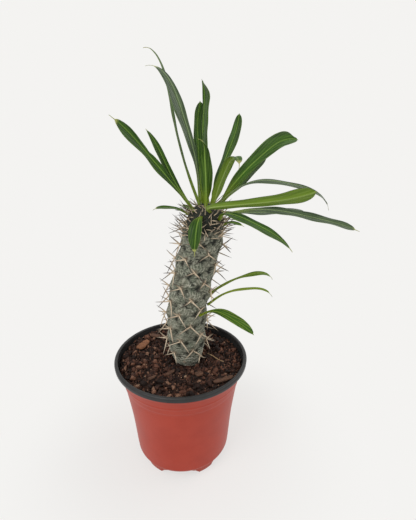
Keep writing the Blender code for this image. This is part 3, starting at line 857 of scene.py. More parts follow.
    def drills(self) -> Surface:
        """Upright cylinders through the floor, one at each drain hole."""
        turn = np.arange(self.foot_count) * 2.0 * math.pi / self.foot_count + math.radians(self.foot_turn)
        heights = np.array([-3.0, 0.0, self.floor_z + 4.0])
        x = self.drain_ring_radius * np.cos(turn)
        y = self.drain_ring_radius * np.sin(turn)
        paths = np.stack([np.stack([x, y, 0 * x + z], axis=-1) for z in heights], axis=1)
        radii = np.full(paths.shape[:2], self.drain_radius)
        return taper_tubes(paths, radii, 28)

    def build(self) -> bpy.types.Object:
        """Turns the shell, drills it and dresses it.

        Returns:
            The pot.
        """
        finishes = [self.terracotta.material(), self.black.material()]
        shell = bpy.data.objects.new("shell", self.surface().mesh("shell"))
        drills = bpy.data.objects.new("drills", self.drills().mesh("drills"))
        for helper in (shell, drills):
            bpy.context.scene.collection.objects.link(helper)
            for finish in finishes:
                helper.data.materials.append(finish)
        cut = shell.modifiers.new("drain_holes", "BOOLEAN")
        cut.operation = "DIFFERENCE"
        cut.solver = "EXACT"
        cut.object = drills
        graph = bpy.context.evaluated_depsgraph_get()
        mesh = bpy.data.meshes.new_from_object(shell.evaluated_get(graph))
        for helper in (shell, drills):
            bpy.data.objects.remove(helper)
        mesh.shade_smooth()
        mesh.set_sharp_from_angle(angle=math.radians(38.0))
        return place_piece("nursery_pot", mesh, finishes, ["pot"])


# ---------------------------------------------------------------- stem


@dataclass
class Stem:
    """The leaning stem: diamond-set tubercles, each with three spines at its top."""

    foot: tuple[float, float] = (5.0, 8.0)
    lean: float = 18.0
    lean_start_z: float = 126.0
    lean_span: float = 118.0
    top_z: float = 243.5
    tubercle_height: float = 2.1
    tubercle_reach: float = 7.0
    areole_rise: float = 2.1
    areole_turn: float = math.radians(-150.6)
    areole_key_z: float = 165.1
    areole_key_angle: float = math.radians(-84.0)
    areoles_below: int = 31
    areoles_above: int = 34
    around: int = 224
    ring_step: float = 0.5
    spine_radius: float = 0.62
    short_spine_z: float = 120.0
    short_spine_fade: float = 14.0
    short_spine_cut: float = 0.45
    ringed_foot_z: float = 119.0
    ringed_foot_fade: float = 14.0
    ringed_foot_share: float = 0.85
    root_ring_z: tuple[float, ...] = (64.0, 72.0, 84.0)
    body_z: tuple[float, float] = (92.0, 236.0)
    cap_z: tuple[float, float] = (236.4, 242.6)
    cap_rings: int = 9
    tubercle_fade_z: tuple[float, ...] = (99.0, 112.0, 226.0, 236.0)
    tubercle_fade: tuple[float, ...] = (0.0, 1.0, 1.0, 0.3)
    level_ring_z: tuple[float, float] = (108.0, 150.0)
    level_ring_share: tuple[float, float] = (1.0, 0.2)
    spine_lengths: tuple[float, float, float] = (16.0, 15.0, 11.0)
    crown_spine_z: float = 205.0
    crown_spine_fade: float = 30.0
    crown_spine_growth: float = 2.0
    ridge_pitch: float = 2.2
    crown_bristle_count: int = 160
    crown_bristle_z: tuple[float, float] = (217.0, 242.5)
    spine_sides: int = 7
    spine_steps: int = 8
    profile: tuple[tuple[float, float], ...] = (
        (64.0, 3.0),
        (72.0, 7.5),
        (84.0, 9.6),
        (95.0, 9.9),
        (98.5, 12.3),
        (103.0, 13.9),
        (109.0, 15.2),
        (124.0, 16.7),
        (160.0, 17.4),
        (215.0, 16.8),
        (228.0, 15.9),
        (235.0, 14.0),
        (240.0, 10.4),
        (242.6, 5.4),
    )

    skin = SkinFinish(
        "stem_skin",
        (0.125, 0.148, 0.1),
        (0.205, 0.205, 0.15),
        (0.66, 0.645, 0.53),
        # the colour of the painted shade
        (0.014, 0.017, 0.012),
        (0.2, 0.13, 0.08),
    )
    horn = SpineFinish("spine_horn", (0.8, 0.67, 0.49), (0.62, 0.48, 0.34), (0.06, 0.045, 0.035))

    def axis(self, z: Array) -> tuple[Array, Array]:
        """The stem's centre line at height z: upright at the foot, then a slow lean to +X."""
        lean = self.lean * ease((z - self.lean_start_z) / self.lean_span) ** 1.2
        return self.foot[0] + lean, self.foot[1] + ease((z - 100.0) / 60.0)

    def radius(self, z: Array) -> Array:
        """The stem's plain radius, before its tubercles, at height z."""
        heights = [row[0] for row in self.profile] + [self.top_z]
        radii = [row[1] for row in self.profile] + [0.0]
        return np.interp(z, heights, radii)

    def areoles(self) -> tuple[Array, Array]:
        """Angle and height of each areole on its spiral."""
        steps = np.arange(-self.areoles_below, self.areoles_above + 1)
        return self.areole_key_angle + self.areole_turn * steps, self.areole_key_z + self.areole_rise * steps

    def around_areole(self, angle: Array, z: Array) -> tuple[Array, Array, Array, Array]:
        """Where a point lies about its nearest areole.

        Args:
            angle: Angles round the stem.
            z: Heights.

        Returns:
            How far across and along from the nearest areole, the distance to it, and how much further
            the next one is.
        """
        spots, heights = self.areoles()
        turn = (angle[..., None] - spots + math.pi) % (2 * math.pi) - math.pi
        across = turn * self.radius(z)[..., None]
        along = z[..., None] - heights
        distance = np.hypot(across, along * 0.85)
        order = np.argsort(distance, axis=-1)
        near = order[..., :1]
        pick = [np.take_along_axis(each, near, axis=-1)[..., 0] for each in (across, along, distance)]
        second = np.take_along_axis(distance, order[..., 1:2], axis=-1)[..., 0]
        return pick[0], pick[1], pick[2], second - pick[2]

    def plain_lift(self, angle: Array, z: Array) -> Array:
        """The tubercles' swell: (1 - distance / reach) to the power 1.3, faded at foot and crown."""
        distance = self.around_areole(angle, z)[2]
        swell = np.clip(1.0 - distance / self.tubercle_reach, 0.0, 1.0) ** 1.3
        fade = np.interp(z, (99.0, 112.0, 226.0, 236.0), (0.0, 1.0, 1.0, 0.0))
        return self.tubercle_height * swell * fade

    def clearance(self, point: Array) -> float:
        """About how far a point lies outside the stem, with its tubercles."""
        z = point[2]
        x, y = self.axis(z)
        if z > self.top_z:
            return z - self.top_z + 0.01
        angle = math.atan2(point[1] - y, point[0] - x)
        lift = float(self.plain_lift(np.array([angle]), np.array([z]))[0])
        slope = self.radius(z - 0.5) - self.radius(z + 0.5)
        outside = math.hypot(point[0] - x, point[1] - y) - self.radius(z) - lift
        return float(outside / math.hypot(1.0, slope))

    def skin_rings(self) -> tuple[Array, Array]:
        """The skin as rings, with what its finish reads.

        A point stands out from the axis by the plain radius, plus the tubercle's swell, less a crease
        where two areoles are equally near, less a hollow beside and under each areole, plus fine
        wrinkles, plus broken ridges that hang in bows under its areole, each a cosine of the distance
        from a point above it, bent by noise. At the foot the ridges turn into level rings.

        Returns:
            (rings, around, 3) points and (rings, around, 4) values: painted shadow of the creases and
            hollows, areole, crown and ridge.
        """
        body = np.arange(*self.body_z, self.ring_step)
        heights = np.concatenate([self.root_ring_z, body, np.linspace(*self.cap_z, self.cap_rings)])
        turn = np.linspace(0.0, 2.0 * math.pi, self.around, endpoint=False)
        z, angle = np.meshgrid(heights, turn, indexing="ij")
        across, along, distance, margin = self.around_areole(angle, z)
        fade = np.interp(z, self.tubercle_fade_z, self.tubercle_fade)
        crease = 1.0 - ease(margin / 2.6)
        left_hollow = hill(across + 3.4, 2.4) * hill(along + 4.6, 3.4)
        right_hollow = 0.8 * hill(across - 4.4, 1.8) * hill(along + 3.0, 2.6)
        hollow = left_hollow + right_hollow
        fine = Lattice(3)
        cells = 64 * angle / (2.0 * math.pi)
        wrinkle = fine.at(cells * 0.5, z / 1.5) + 0.6 * fine.at(cells, z / 0.8 + 11.0)
        bend = 1.5 * fine.at(cells * 0.3, z / 6.0 + 5.0) + 0.5 * fine.at(cells * 0.7, z / 3.0 + 31.0)
        level = np.interp(z, self.level_ring_z, self.level_ring_share)
        bow = np.hypot(across * 1.05, np.minimum(along - 3.5, 0.0) * 0.9)
        run = bow * (1.0 - level) - (z + 0.12 * across) * level
        calm = 1.0 - self.ringed_foot_share * ease((self.ringed_foot_z - z) / self.ringed_foot_fade)
        ridge = 0.5 + 0.5 * np.cos(2.0 * math.pi * run / self.ridge_pitch + 3.6 * calm * bend)
        patchy = 1.0 - 0.7 * calm * (1.0 - ease(1.4 * fine.at(cells * 0.35 + 9.0, z / 4.0) + 0.5))
        ridge = 0.4 + (ridge - 0.4) * patchy
        relief = self.plain_lift(angle, z) - (0.4 * crease + 1.6 * hollow) * fade
        relief = relief + 0.2 * wrinkle + (1.3 - 0.95 * calm) * (ridge - 0.4)
        x, y = self.axis(z)
        reach = self.radius(z) + relief * np.clip(self.radius(z) / 8.0, 0.0, 1.0)
        points = np.stack([x + reach * np.cos(angle), y + reach * np.sin(angle), z], axis=-1)
        shadow = np.clip((0.3 * crease + hollow) * fade, 0.0, 1.0)
        crown = ease((z - 140.0) / 100.0)
        ridge = ridge + 0.25 * wrinkle + 1.8 * (1.0 - calm) * (ridge - 0.45)
        return points, np.stack([shadow, hill(distance, 1.7) * fade, crown, ridge], axis=-1)

    def build_skin(self) -> bpy.types.Object:
        """The stem without its spines.

        Returns:
            The piece.
        """
        rings, values = self.skin_rings()
        x, y = self.axis(self.top_z)
        shape = loft(rings, np.array([*self.foot, 62.8]), np.array([x, y, self.top_z]))
        values = np.vstack([values[0].mean(axis=0), values.reshape(-1, 4), values[-1].mean(axis=0)])
        shape.values["skin"] = values[:, :3]
        shape.values["ridge"] = values[:, 3]
        mesh = shape.mesh("stem")
        return place_piece("stem_skin", mesh, [self.skin.material()], ["stem"])

    def rays(self, angle: Array, z: Array) -> tuple[Array, Array]:
        """Direction and length of each areole's three spines: down-right, left and up.

        Args:
            angle: The areoles' angles.
            z: Their heights.

        Returns:
            (areoles, 3, 3) directions and (areoles, 3) lengths.
        """
        out = np.stack([np.cos(angle), np.sin(angle), 0 * angle], axis=-1)
        side = np.stack([-np.sin(angle), np.cos(angle), 0 * angle], axis=-1)
        up = np.broadcast_to((0.0, 0.0, 1.0), out.shape)
        crown = ease((z - self.crown_spine_z) / self.crown_spine_fade)[:, None]
        low = 0.4 * out + 0.72 * side + (-0.56 + 0.8 * crown) * up
        left = 0.42 * out - 0.85 * side + (-0.28 + 0.7 * crown) * up
        high = 0.7 * out - 0.25 * side + (0.66 + 0.5 * crown) * up
        growth = self.crown_spine_growth * np.array([0.0, 0.0, 1.0])
        lengths = np.array(self.spine_lengths) + growth * crown
        foot = ease((self.short_spine_z - z) / self.short_spine_fade)[:, None]
        return unit(np.stack([low, left, high], axis=1)), lengths * (1.0 - self.short_spine_cut * foot)

    def surface_point(self, angle: Array, z: Array) -> Array:
        """Points on the swollen skin."""
        x, y = self.axis(z)
        reach = self.radius(z) + self.plain_lift(angle, z)
        return np.stack([x + reach * np.cos(angle), y + reach * np.sin(angle), z], axis=-1)

    def build_spines(self, leaves: Array, soil: "PottingMix") -> bpy.types.Object:
        """All the spines, those that would meet a leaf or the soil left out.

        A spine's radius at share t of its length is that of its root times (1 - t to the power 1.8) to
        the power 0.8, and it bows by a sine over its length. Those at the two sides are the darkest.

        Args:
            leaves: Points over all the leaves.
            soil: The potting mix, for its height.

        Returns:
            The piece.
        """
        rng = np.random.default_rng(17)
        angle, z = self.areoles()
        ways, lengths = self.rays(angle, z)
        roots = np.repeat(self.surface_point(angle, z)[:, None], 3, axis=1).reshape(-1, 3)
        heights = np.repeat(z, 3)
        ways = unit(ways.reshape(-1, 3) + rng.normal(scale=0.07, size=(len(roots), 3)))
        lengths = lengths.ravel() * rng.uniform(0.9, 1.08, len(roots))
        crown_roots, crown_ways, crown_lengths = self.crown_bristles(rng)
        roots = np.concatenate([roots, crown_roots])
        ways = np.concatenate([ways, crown_ways])
        lengths = np.concatenate([lengths, crown_lengths])
        heights = np.concatenate([heights, crown_roots[:, 2]])
        share = np.linspace(0.0, 1.0, self.spine_steps)
        reach = -0.8 + share[None, :] * (lengths[:, None] + 0.8)
        bow = unit(rng.normal(size=ways.shape)) * rng.uniform(0.1, 0.7, (len(ways), 1))
        paths = roots[:, None] + ways[:, None] * reach[..., None]
        paths = paths + bow[:, None] * np.sin(math.pi * share)[None, :, None]
        kept = np.array([self.spine_is_clear(path, leaves, soil) for path in paths])
        paths, heights = paths[kept], heights[kept]
        size = rng.uniform(0.8, 1.1, (len(paths), 1)) * (1.0 - 0.3 * (heights > 216.0))[:, None]
        radii = self.spine_radius * size * ((1.0 - share**1.8) ** 0.8 * 0.92 + 0.08)[None, :]
        shape = taper_tubes(paths, radii, self.spine_sides)
        along = np.repeat(share[None, :], len(paths), axis=0)
        age = np.repeat(rng.uniform(0.0, 1.0, (len(paths), 1)), len(share), axis=1)
        sideways = ease((np.abs(paths[:, -1, 0] - paths[:, 0, 0]) - 2.0) / 7.0)
        darkness = 0.3 + 0.7 * ease((heights - 120.0) / 60.0) + 0.4 * ease((heights - 214.0) / 20.0)
        darkness = (darkness * (0.12 + 0.95 * sideways))[:, None] * rng.uniform(0.4, 1.5, (len(paths), 1))
        darkness = np.repeat(darkness, len(share), axis=1)
        columns = [tube_values(each, self.spine_sides) for each in (along, age, darkness)]
        shape.values["spine"] = np.stack(columns, axis=-1)
        mesh = shape.mesh("spines")
        return place_piece("stem_spines", mesh, [self.horn.material()], ["stem"])

    def crown_bristles(self, rng: np.random.Generator) -> tuple[Array, Array, Array]:
        """Roots, directions and lengths of the crowded young spines between the leaves' feet."""
        count = self.crown_bristle_count
        angle = np.arange(count) * 2.39996
        z = np.linspace(*self.crown_bristle_z, count)
        out = np.stack([np.cos(angle), np.sin(angle), 0 * angle], axis=-1)
        turned = np.stack([-np.sin(angle), np.cos(angle), 0 * angle], axis=-1)
        up = np.array([0.0, 0.0, 1.0])
        tilt = rng.uniform(-0.1, 1.5, (count, 1))
        ways = unit(out + tilt * up + rng.uniform(-1.2, 1.2, (count, 1)) * turned)
        return self.surface_point(angle, z), ways, rng.uniform(9.0, 15.0, count)

    @staticmethod
    def spine_is_clear(path: Array, leaves: Array, soil: "PottingMix") -> bool:
        """Whether a spine keeps off every leaf and the soil."""
        walk = path[2:]
        if (walk[:, 2] < soil.level(walk[:, 0], walk[:, 1]) + 1.2).any():
            return False
        gaps = np.linalg.norm(walk[:, None, :] - leaves[None, :, :], axis=2)
        return bool(gaps.min() > (1.3 if path[0, 2] < Stem.crown_bristle_z[0] else 0.9))


# ---------------------------------------------------------------- soil


@dataclass
class PottingMix:
    """Loose dark potting mix: a lumpy top, crumbs, grit and dry bits of root on it."""

    pot: NurseryPot
    stem: Stem
    edge_z: float = 100.3
    tilt: float = 0.9
    high_side: tuple[float, float] = (-0.87, 0.5)
    dip: float = 6.2
    hole_z: float = 96.3
    lump: float = 0.8
    around: int = 420
    top_rings: int = 62
    small_crumbs: int = 2300
    large_crumbs: int = 950
    grit_count: int = 46
    straw_count: int = 70
    kept_clear: tuple[tuple[float, float, float], ...] = ()

    peat = PeatFinish(
        "peat", (0.008, 0.004, 0.003), (0.04, 0.017, 0.011), (0.19, 0.08, 0.048), (0.4, 0.25, 0.16)
    )

    def level(self, x: Array, y: Array) -> Array:
        """The soil's plain height: higher on one side, with a dip about the stem and soft lumps."""
        reach = np.hypot(x - self.stem.foot[0], y - self.stem.foot[1]) / 50.0
        dip = self.dip * np.exp(-6.0 * reach * reach)
        lumps = np.sin(x * 0.31 + 1.3) * np.cos(y * 0.27 - 0.4) + 0.6 * np.sin(x * 0.17 - y * 0.36)
        tilt = self.tilt * (x * self.high_side[0] + y * self.high_side[1]) / 50.0
        return self.edge_z + tilt - dip + self.lump * 0.6 * lumps

    def crumble(self, x: Array, y: Array) -> Array:
        """Loose relief on the plain height: noise of three sizes, the small ones sharp-topped.

        It dies away where something lies on the soil.
        """
        coarse, middle, fine = Lattice(5), Lattice(6), Lattice(7)
        ridge = 1.0 - 2.0 * np.abs(middle.at(x / 2.7, y / 2.7))
        grains = 1.0 - 2.0 * np.abs(fine.at(x / 1.25, y / 1.25))
        loose = 0.9 * coarse.at(x / 6.5, y / 6.5) + 1.1 * (ridge - 0.4) + 0.5 * (grains - 0.4)
        return loose * ease(self.off_bits(x, y) / 1.5)

    def off_bits(self, x: Array, y: Array) -> Array:
        """Distance from the nearest of the discs that are kept clear."""
        clear = np.array(self.kept_clear).reshape(-1, 3)
        gaps = np.hypot(x[..., None] - clear[:, 0], y[..., None] - clear[:, 1]) - clear[:, 2]
        return gaps.min(axis=-1, initial=9.0)

    def ring(self, radius: Array | float, shift: float) -> Array:
        """A level ring about the pot's axis, moved by shift (0 to 1) to the stem's foot."""
        turn = np.linspace(0.0, 2.0 * math.pi, self.around, endpoint=False)
        x = self.stem.foot[0] * shift + radius * np.cos(turn)
        y = self.stem.foot[1] * shift + radius * np.sin(turn)
        return np.stack([x, y, 0 * x], axis=-1)

    def inside_wall(self, points: Array, margin: float = 0.0) -> Array:
        """Points drawn in towards the pot's axis until they are clear of its wall at their own height.

        Args:
            points: (..., 3) points.
            margin: What they keep from the wall besides the seat's gap.

        Returns:
            The points, moved.
        """
        limit = self.pot.inner_radius(points[..., 2]) - SEAT_GAP - margin
        share = np.minimum(1.0, limit / np.hypot(points[..., 0], points[..., 1]))
        return np.concatenate([points[..., :2] * share[..., None], points[..., 2:]], axis=-1)

    def build_bed(self) -> bpy.types.Object:
        """The body of the soil, from the pot's floor to its lumpy top.

        Returns:
            The piece.
        """
        rings = []
        tones = []
        low = self.pot.floor_z + SEAT_GAP
        sides = (low, self.pot.body_foot_z + 2.0, 50.0, self.pot.collar_foot_z, self.pot.collar_foot_z + 2.0)
        for z in sides:
            ring = self.ring(float(self.pot.inner_radius(z)) - SEAT_GAP - 0.1, 0.0)
            ring[:, 2] = z
            rings.append(ring)
            tones.append(np.full(self.around, 0.3))
        outer = float(self.pot.inner_radius(self.edge_z - self.tilt)) - SEAT_GAP - 0.2
        hole = float(self.stem.radius(self.hole_z)) + SEAT_GAP
        for share in np.linspace(1.0, 0.0, self.top_rings):
            ring = self.ring(hole + (outer - hole) * share, 1.0 - share)
            crumble = self.crumble(ring[:, 0], ring[:, 1])
            edge = hill(share - 1.0, 0.05) + 0.8 * hill(share, 0.06)
            ring[:, 2] = self.level(ring[:, 0], ring[:, 1]) + crumble - 0.5 - 1.6 * edge
            rings.append(self.inside_wall(ring, 0.2))
            # The top's tone rises and falls with the crumble, so its hollows are painted darker, as shade.
            tones.append(0.32 + 0.2 * crumble)
        for z, radius in reversed(self.stem.profile[:3]):
            ring = self.ring(radius + SEAT_GAP + 0.1, 1.0)
            ring[:, 2] = z - SEAT_GAP
            rings.append(ring)
            tones.append(np.full(self.around, 0.2))
        socket = np.array([*self.stem.foot, self.stem.profile[0][0] - 2.0])
        shape = loft(np.array(rings), np.array([0.0, 0.0, low]), socket)
        tone = np.concatenate([[0.3], np.concatenate(tones), [0.2]])
        shape.values["tone"] = tone
        # Painted shade: the lower the tone, the nearer black, most in the top's hollows.
        shape.values["depth"] = np.clip(0.75 - tone * 1.5, 0.0, 0.95)
        mesh = shape.mesh("bed")
        return place_piece("soil_bed", mesh, [self.peat.material()], ["soil"])

    def scatter(self, rng: np.random.Generator, count: int, clear: float) -> Array:
        """Random spots on the soil, clear of the wall and of the stem's foot."""
        limit = float(self.pot.inner_radius(self.edge_z)) - clear
        near = float(self.stem.radius(self.edge_z)) + clear
        spots = rng.uniform(-limit, limit, (count * 3, 2))
        inside = np.hypot(spots[:, 0], spots[:, 1]) < limit
        off_stem = np.hypot(spots[:, 0] - self.stem.foot[0], spots[:, 1] - self.stem.foot[1]) > near
        off_bits = self.off_bits(*spots.T) > 0.3 * clear
        return spots[inside & off_stem & off_bits][:count]

    def crumbs(
        self, rng: np.random.Generator, count: int, detail: int, sizes: tuple[float, float]
    ) -> Surface:
        """Crumbs of one kind: a ball, roughened, squashed along three axes, turned and half sunk.

        Args:
            rng: The source of the random draws.
            count: How many crumbs there are.
            detail: The ball's subdivisions.
            sizes: Smallest and largest radius.

        Returns:
            The crumbs as one surface, with a tone for each.
        """
        corners, triangles = ball(detail)
        spots = self.scatter(rng, count, sizes[1])
        count = len(spots)
        size = sizes[0] + (sizes[1] - sizes[0]) * rng.uniform(0.0, 1.0, count) ** 2.2
        rough = 1.0 + 0.36 * rng.uniform(-1.0, 1.0, (count, len(corners), 1))
        squash = rng.uniform(0.4, 1.3, (count, 1, 3)) * size[:, None, None]
        shaped = corners[None] * rough * squash
        turned = np.einsum("cij,cpj->cpi", random_turns(rng, count), shaped)
        x, y = spots.T
        height = self.level(x, y) + self.crumble(x, y) - 0.5
        centres = np.stack([x, y, height + size * rng.uniform(-0.1, 0.55, count)], axis=-1)
        points = turned + centres[:, None]
        shape = many(self.inside_wall(points), np.zeros((0, 4), int), triangles)
        tone = np.clip(rng.normal(0.42, 0.34, count) + 0.35 * (rng.uniform(size=count) > 0.93), 0.0, 1.0)
        shape.values["tone"] = np.repeat(tone, points.shape[1])
        shape.values["depth"] = np.repeat(np.clip(0.25 - tone, 0.0, 0.3), points.shape[1])
        return shape

    def straws(self, rng: np.random.Generator) -> Surface:
        """Short dry root ends and needles lying at all angles on the crumbs."""
        spots = self.scatter(rng, self.straw_count, 6.0)
        count = len(spots)
        heading = rng.uniform(0.0, 2.0 * math.pi, count)
        length = rng.uniform(2.5, 8.0, count)
        share = np.linspace(-0.5, 0.5, 6)
        way = np.stack([np.cos(heading), np.sin(heading), rng.uniform(-0.12, 0.12, count)], axis=-1)
        centres = np.stack([*spots.T, self.level(*spots.T) + rng.uniform(0.5, 1.3, count)], axis=-1)
        paths = centres[:, None] + way[:, None] * (share[None, :, None] * length[:, None, None])
        bow = rng.normal(scale=0.5, size=(count, 1, 3)) * (1.0 - 4.0 * share**2)[None, :, None]
        radii = rng.uniform(0.12, 0.3, (count, 1)) * (1.0 - 1.2 * share[None, :] ** 2)
        shape = taper_tubes(paths + bow, radii, 5)
        tone = np.repeat(rng.uniform(0.45, 0.95, (count, 1)), len(share), axis=1)
        shape.values["tone"] = tube_values(tone, 5)
        shape.values["depth"] = 0.0 * shape.values["tone"]
        return shape

    def build_loose(self) -> list[bpy.types.Object]:
        """Crumbs, grit and straws.

        Returns:
            The pieces.
        """
        rng = np.random.default_rng(29)
        finish = self.peat.material()
        grit = self.crumbs(rng, self.grit_count, 2, (0.6, 1.3))
        grit.values["tone"] = 0.0 * grit.values["tone"] + 1.15
        sets = {
            "soil_crumbs_small": self.crumbs(rng, self.small_crumbs, 1, (0.5, 1.4)),
            "soil_crumbs_large": self.crumbs(rng, self.large_crumbs, 2, (1.0, 2.8)),
            "soil_grit": grit,
            "soil_straws": self.straws(rng),
        }
        return [place_piece(name, made.mesh(name), [finish], []) for name, made in sets.items()]


# ---------------------------------------------------------------- leaves


@dataclass
class LeafBlade:
    """One leaf. Angles are in degrees.

    Seat is (angle round the stem, distance from its axis, height). Widths are the blade's at PLACES.
    Rise and heading each give the leaf's direction at its foot, at six tenths of its length and at its
    tip. Skew is how much wider one side is than the other, from -1 to 1. Awn is the length of the
    bristle at its tip. Tone is from 0, deep green, to 1, yellower. Ripple is how far its margins wave.
    Each dent in its margin is (share of the length, side, depth, reach in millimetres). The yellow of
    its stalk fades out over the share stalk_reach of its length.
    """

    name: str
    seat: tuple[float, float, float]
    length: float
    widths: tuple[float, float, float, float]
    rise: tuple[float, float, float]
    heading: tuple[float, float, float]
    roll: float
    skew: float
    awn: float
    tone: float = 0.5
    ripple: float = 0.35
    dents: tuple[tuple[float, int, float, float], ...] = ()
    stalk_reach: float = 0.3

    THICKNESS = 0.9
    STALK_WIDTH = 3.2
    FOLD = 0.16
    PLACES = (0.25, 0.5, 0.75, 0.92)
    STALK_END = 0.06
    END_START = 0.86
    AWN_RADIUS = 0.35
    ROOT_DEPTH = 1.6
    FEWEST_ROWS = 72
    ROW_PITCH = 0.9
    COLUMNS = np.array([1.0, 0.96, 0.86, 0.7, 0.5, 0.3, 0.15, 0.06])

    @staticmethod
    def bend(share: Array, angles: tuple[float, float, float]) -> Array:
        """An angle along the leaf: eased from its foot to six tenths, then curving on to its tip."""
        foot, middle, tip = np.radians(angles)
        late = np.clip((share - 0.6) / 0.4, 0.0, 1.0)
        return foot + (middle - foot) * ease(share / 0.6) + (tip - middle) * late * late

    def directions(self, share: Array) -> tuple[Array, Array, Array]:
        """The way along, the way to its side and its upper normal, the blade rolled about its midrib."""
        rise = self.bend(share, self.rise)
        heading = self.bend(share, self.heading)
        flat = np.cos(rise)
        along = np.stack([flat * np.cos(heading), flat * np.sin(heading), np.sin(rise)], axis=1)
        side = np.stack([-np.sin(heading), np.cos(heading), 0 * share], axis=1)
        normal = np.cross(along, side)
        roll = np.radians(self.roll) * ease(share / 0.35)[:, None]
        return along, side * np.cos(roll) + normal * np.sin(roll), normal * np.cos(roll) - side * np.sin(roll)

    def foot(self, stem: Stem) -> Array:
        """Where the midrib leaves the stem: moved out along the leaf until its foot clears the stem."""
        angle, reach, z = self.seat
        x, y = stem.axis(z)
        turn = math.radians(angle)
        start = np.array([x + reach * math.cos(turn), y + reach * math.sin(turn), z])
        along, side, normal = (rows[0] for rows in self.directions(np.array([0.0])))
        half, thick = self.STALK_WIDTH / 2, self.THICKNESS / 2
        corners = [side * half * a + normal * thick * b for a in (-1, 0, 1) for b in (-1, 1)]
        for step in range(160):
            foot = start + along * 0.15 * step
            if all(stem.clearance(foot + corner) > SEAT_GAP for corner in corners):
                break
        return foot

    def midrib(self, stem: Stem, share: Array) -> Array:
        """Points along the midrib, by adding up the direction along the leaf."""
        fine = np.linspace(0.0, 1.0, 241)
        along = self.directions(fine)[0]
        steps = (along[:-1] + along[1:]) / 2 * self.length / (len(fine) - 1)
        path = np.vstack([np.zeros(3), np.cumsum(steps, axis=0)])
        inside = np.clip(share, None, 0.0)[:, None] * self.length * along[0]
        spots = np.stack([np.interp(share, fine, path[:, axis]) for axis in range(3)], axis=1)
        return self.foot(stem) + spots + inside

    def half_width(self, share: Array, side: int) -> Array:
        """Half the blade's width on one side: a slim stalk, the leaf's outline, a rounded end, the awn.

        Over the last part of the blade it is the outline times the square root of 1 - p squared, p being
        the share of the way to the point. The margin swells and narrows a little, differently on each
        side, and each dent takes a smooth hill out of it.
        """
        spot = share * self.length / (self.length - self.awn)
        stalk = min(self.STALK_WIDTH, self.widths[0])
        knots = (0.0, self.STALK_END, *self.PLACES, 1.5)
        width = flowing(spot, knots, (stalk, stalk, *self.widths, self.widths[-1]))
        end = np.clip((spot - self.END_START) / (1.0 - self.END_START), 0.0, 1.0)
        phase = self.length * 0.37 + side
        short_swell = np.sin(share * self.length / 6.5 + phase) * 0.6
        long_swell = np.sin(share * self.length / 13.0 + 2 * phase)
        swell = short_swell + long_swell
        width = width * (1.0 + (side * self.skew + 0.025 * swell) * ease(share / 0.3))
        for place, way, depth, reach in self.dents:
            if way == side:
                width = width * (1.0 - depth * hill((share - place) * self.length, reach))
        awn = self.AWN_RADIUS * (1.0 - 0.65 * np.clip((spot - 1.0) * self.length / self.awn, 0.0, 1.0))
        return np.maximum(width / 2 * np.sqrt(1.0 - end**2), awn)

    def surface(self, stem: Stem) -> Surface:
        """The whole leaf as a loft along its midrib.

        At each row, a section runs over the upper side from one margin to the other and back below. Its
        height above the midrib is a fold that rises with the distance from the midrib, less a droop at
        the margin, plus a ripple that grows with the square of that distance, plus or minus half the
        thickness, with a groove above the midrib and a keel below it.
        """
        depth = self.ROOT_DEPTH / self.length
        run = np.linspace(0.0, 1.0, max(self.FEWEST_ROWS, round(self.length / self.ROW_PITCH)))
        share = (1.0 - (1.0 - run) ** 1.12) * (1.0 + depth) - depth
        inner = np.clip(share, 0.0, 1.0)
        across = np.concatenate([self.COLUMNS, [0.0], -self.COLUMNS[::-1]])
        across = np.concatenate([across, across[-2:0:-1]])
        above = np.concatenate([np.ones(2 * len(self.COLUMNS) + 1), np.zeros(2 * len(self.COLUMNS) - 1)])
        _, side, normal = self.directions(inner)
        half = np.where(
            across[None, :] >= 0, self.half_width(inner, 1)[:, None], self.half_width(inner, -1)[:, None]
        )
        out = across[None, :] * half
        slim = 1.0 - ease((inner - 0.02) / 0.28)[:, None]
        thick = self.THICKNESS * (0.78 + 1.1 * slim) * np.clip(half / 1.6, 0.35, 1.0)
        edge = np.sqrt(np.clip(1.0 - np.abs(across[None, :]) ** (4.0 - 2.0 * slim), 0.0, 1.0))
        blade = 1.0 - slim
        groove = 0.3 * hill(out, 0.7) * blade
        keel = 0.75 * hill(out, 0.95) * (1.0 - 0.75 * inner[:, None]) * np.clip(half / 3.0, 0.0, 1.0)
        skin = np.where(above[None, :] > 0, thick / 2 * edge - groove, -thick / 2 * edge - keel)
        wave = np.sin(inner[:, None] * self.length / 4.6 + 1.7 * np.sign(across)[None, :] + self.length)
        ripple = self.ripple * wave * across[None, :] ** 2 * blade * np.clip(half / 4.0, 0.0, 1.0)
        fold = self.FOLD * np.abs(out) - 0.07 * half * np.abs(across[None, :]) ** 5
        height = fold * (1.0 - 0.4 * slim) + ripple + skin
        spine = self.midrib(stem, share)
        rings = spine[:, None] + side[:, None] * out[..., None] + normal[:, None] * height[..., None]
        shape = loft(rings, spine[0], spine[-1])
        self.mark(shape, across, above, inner, out)
        return shape

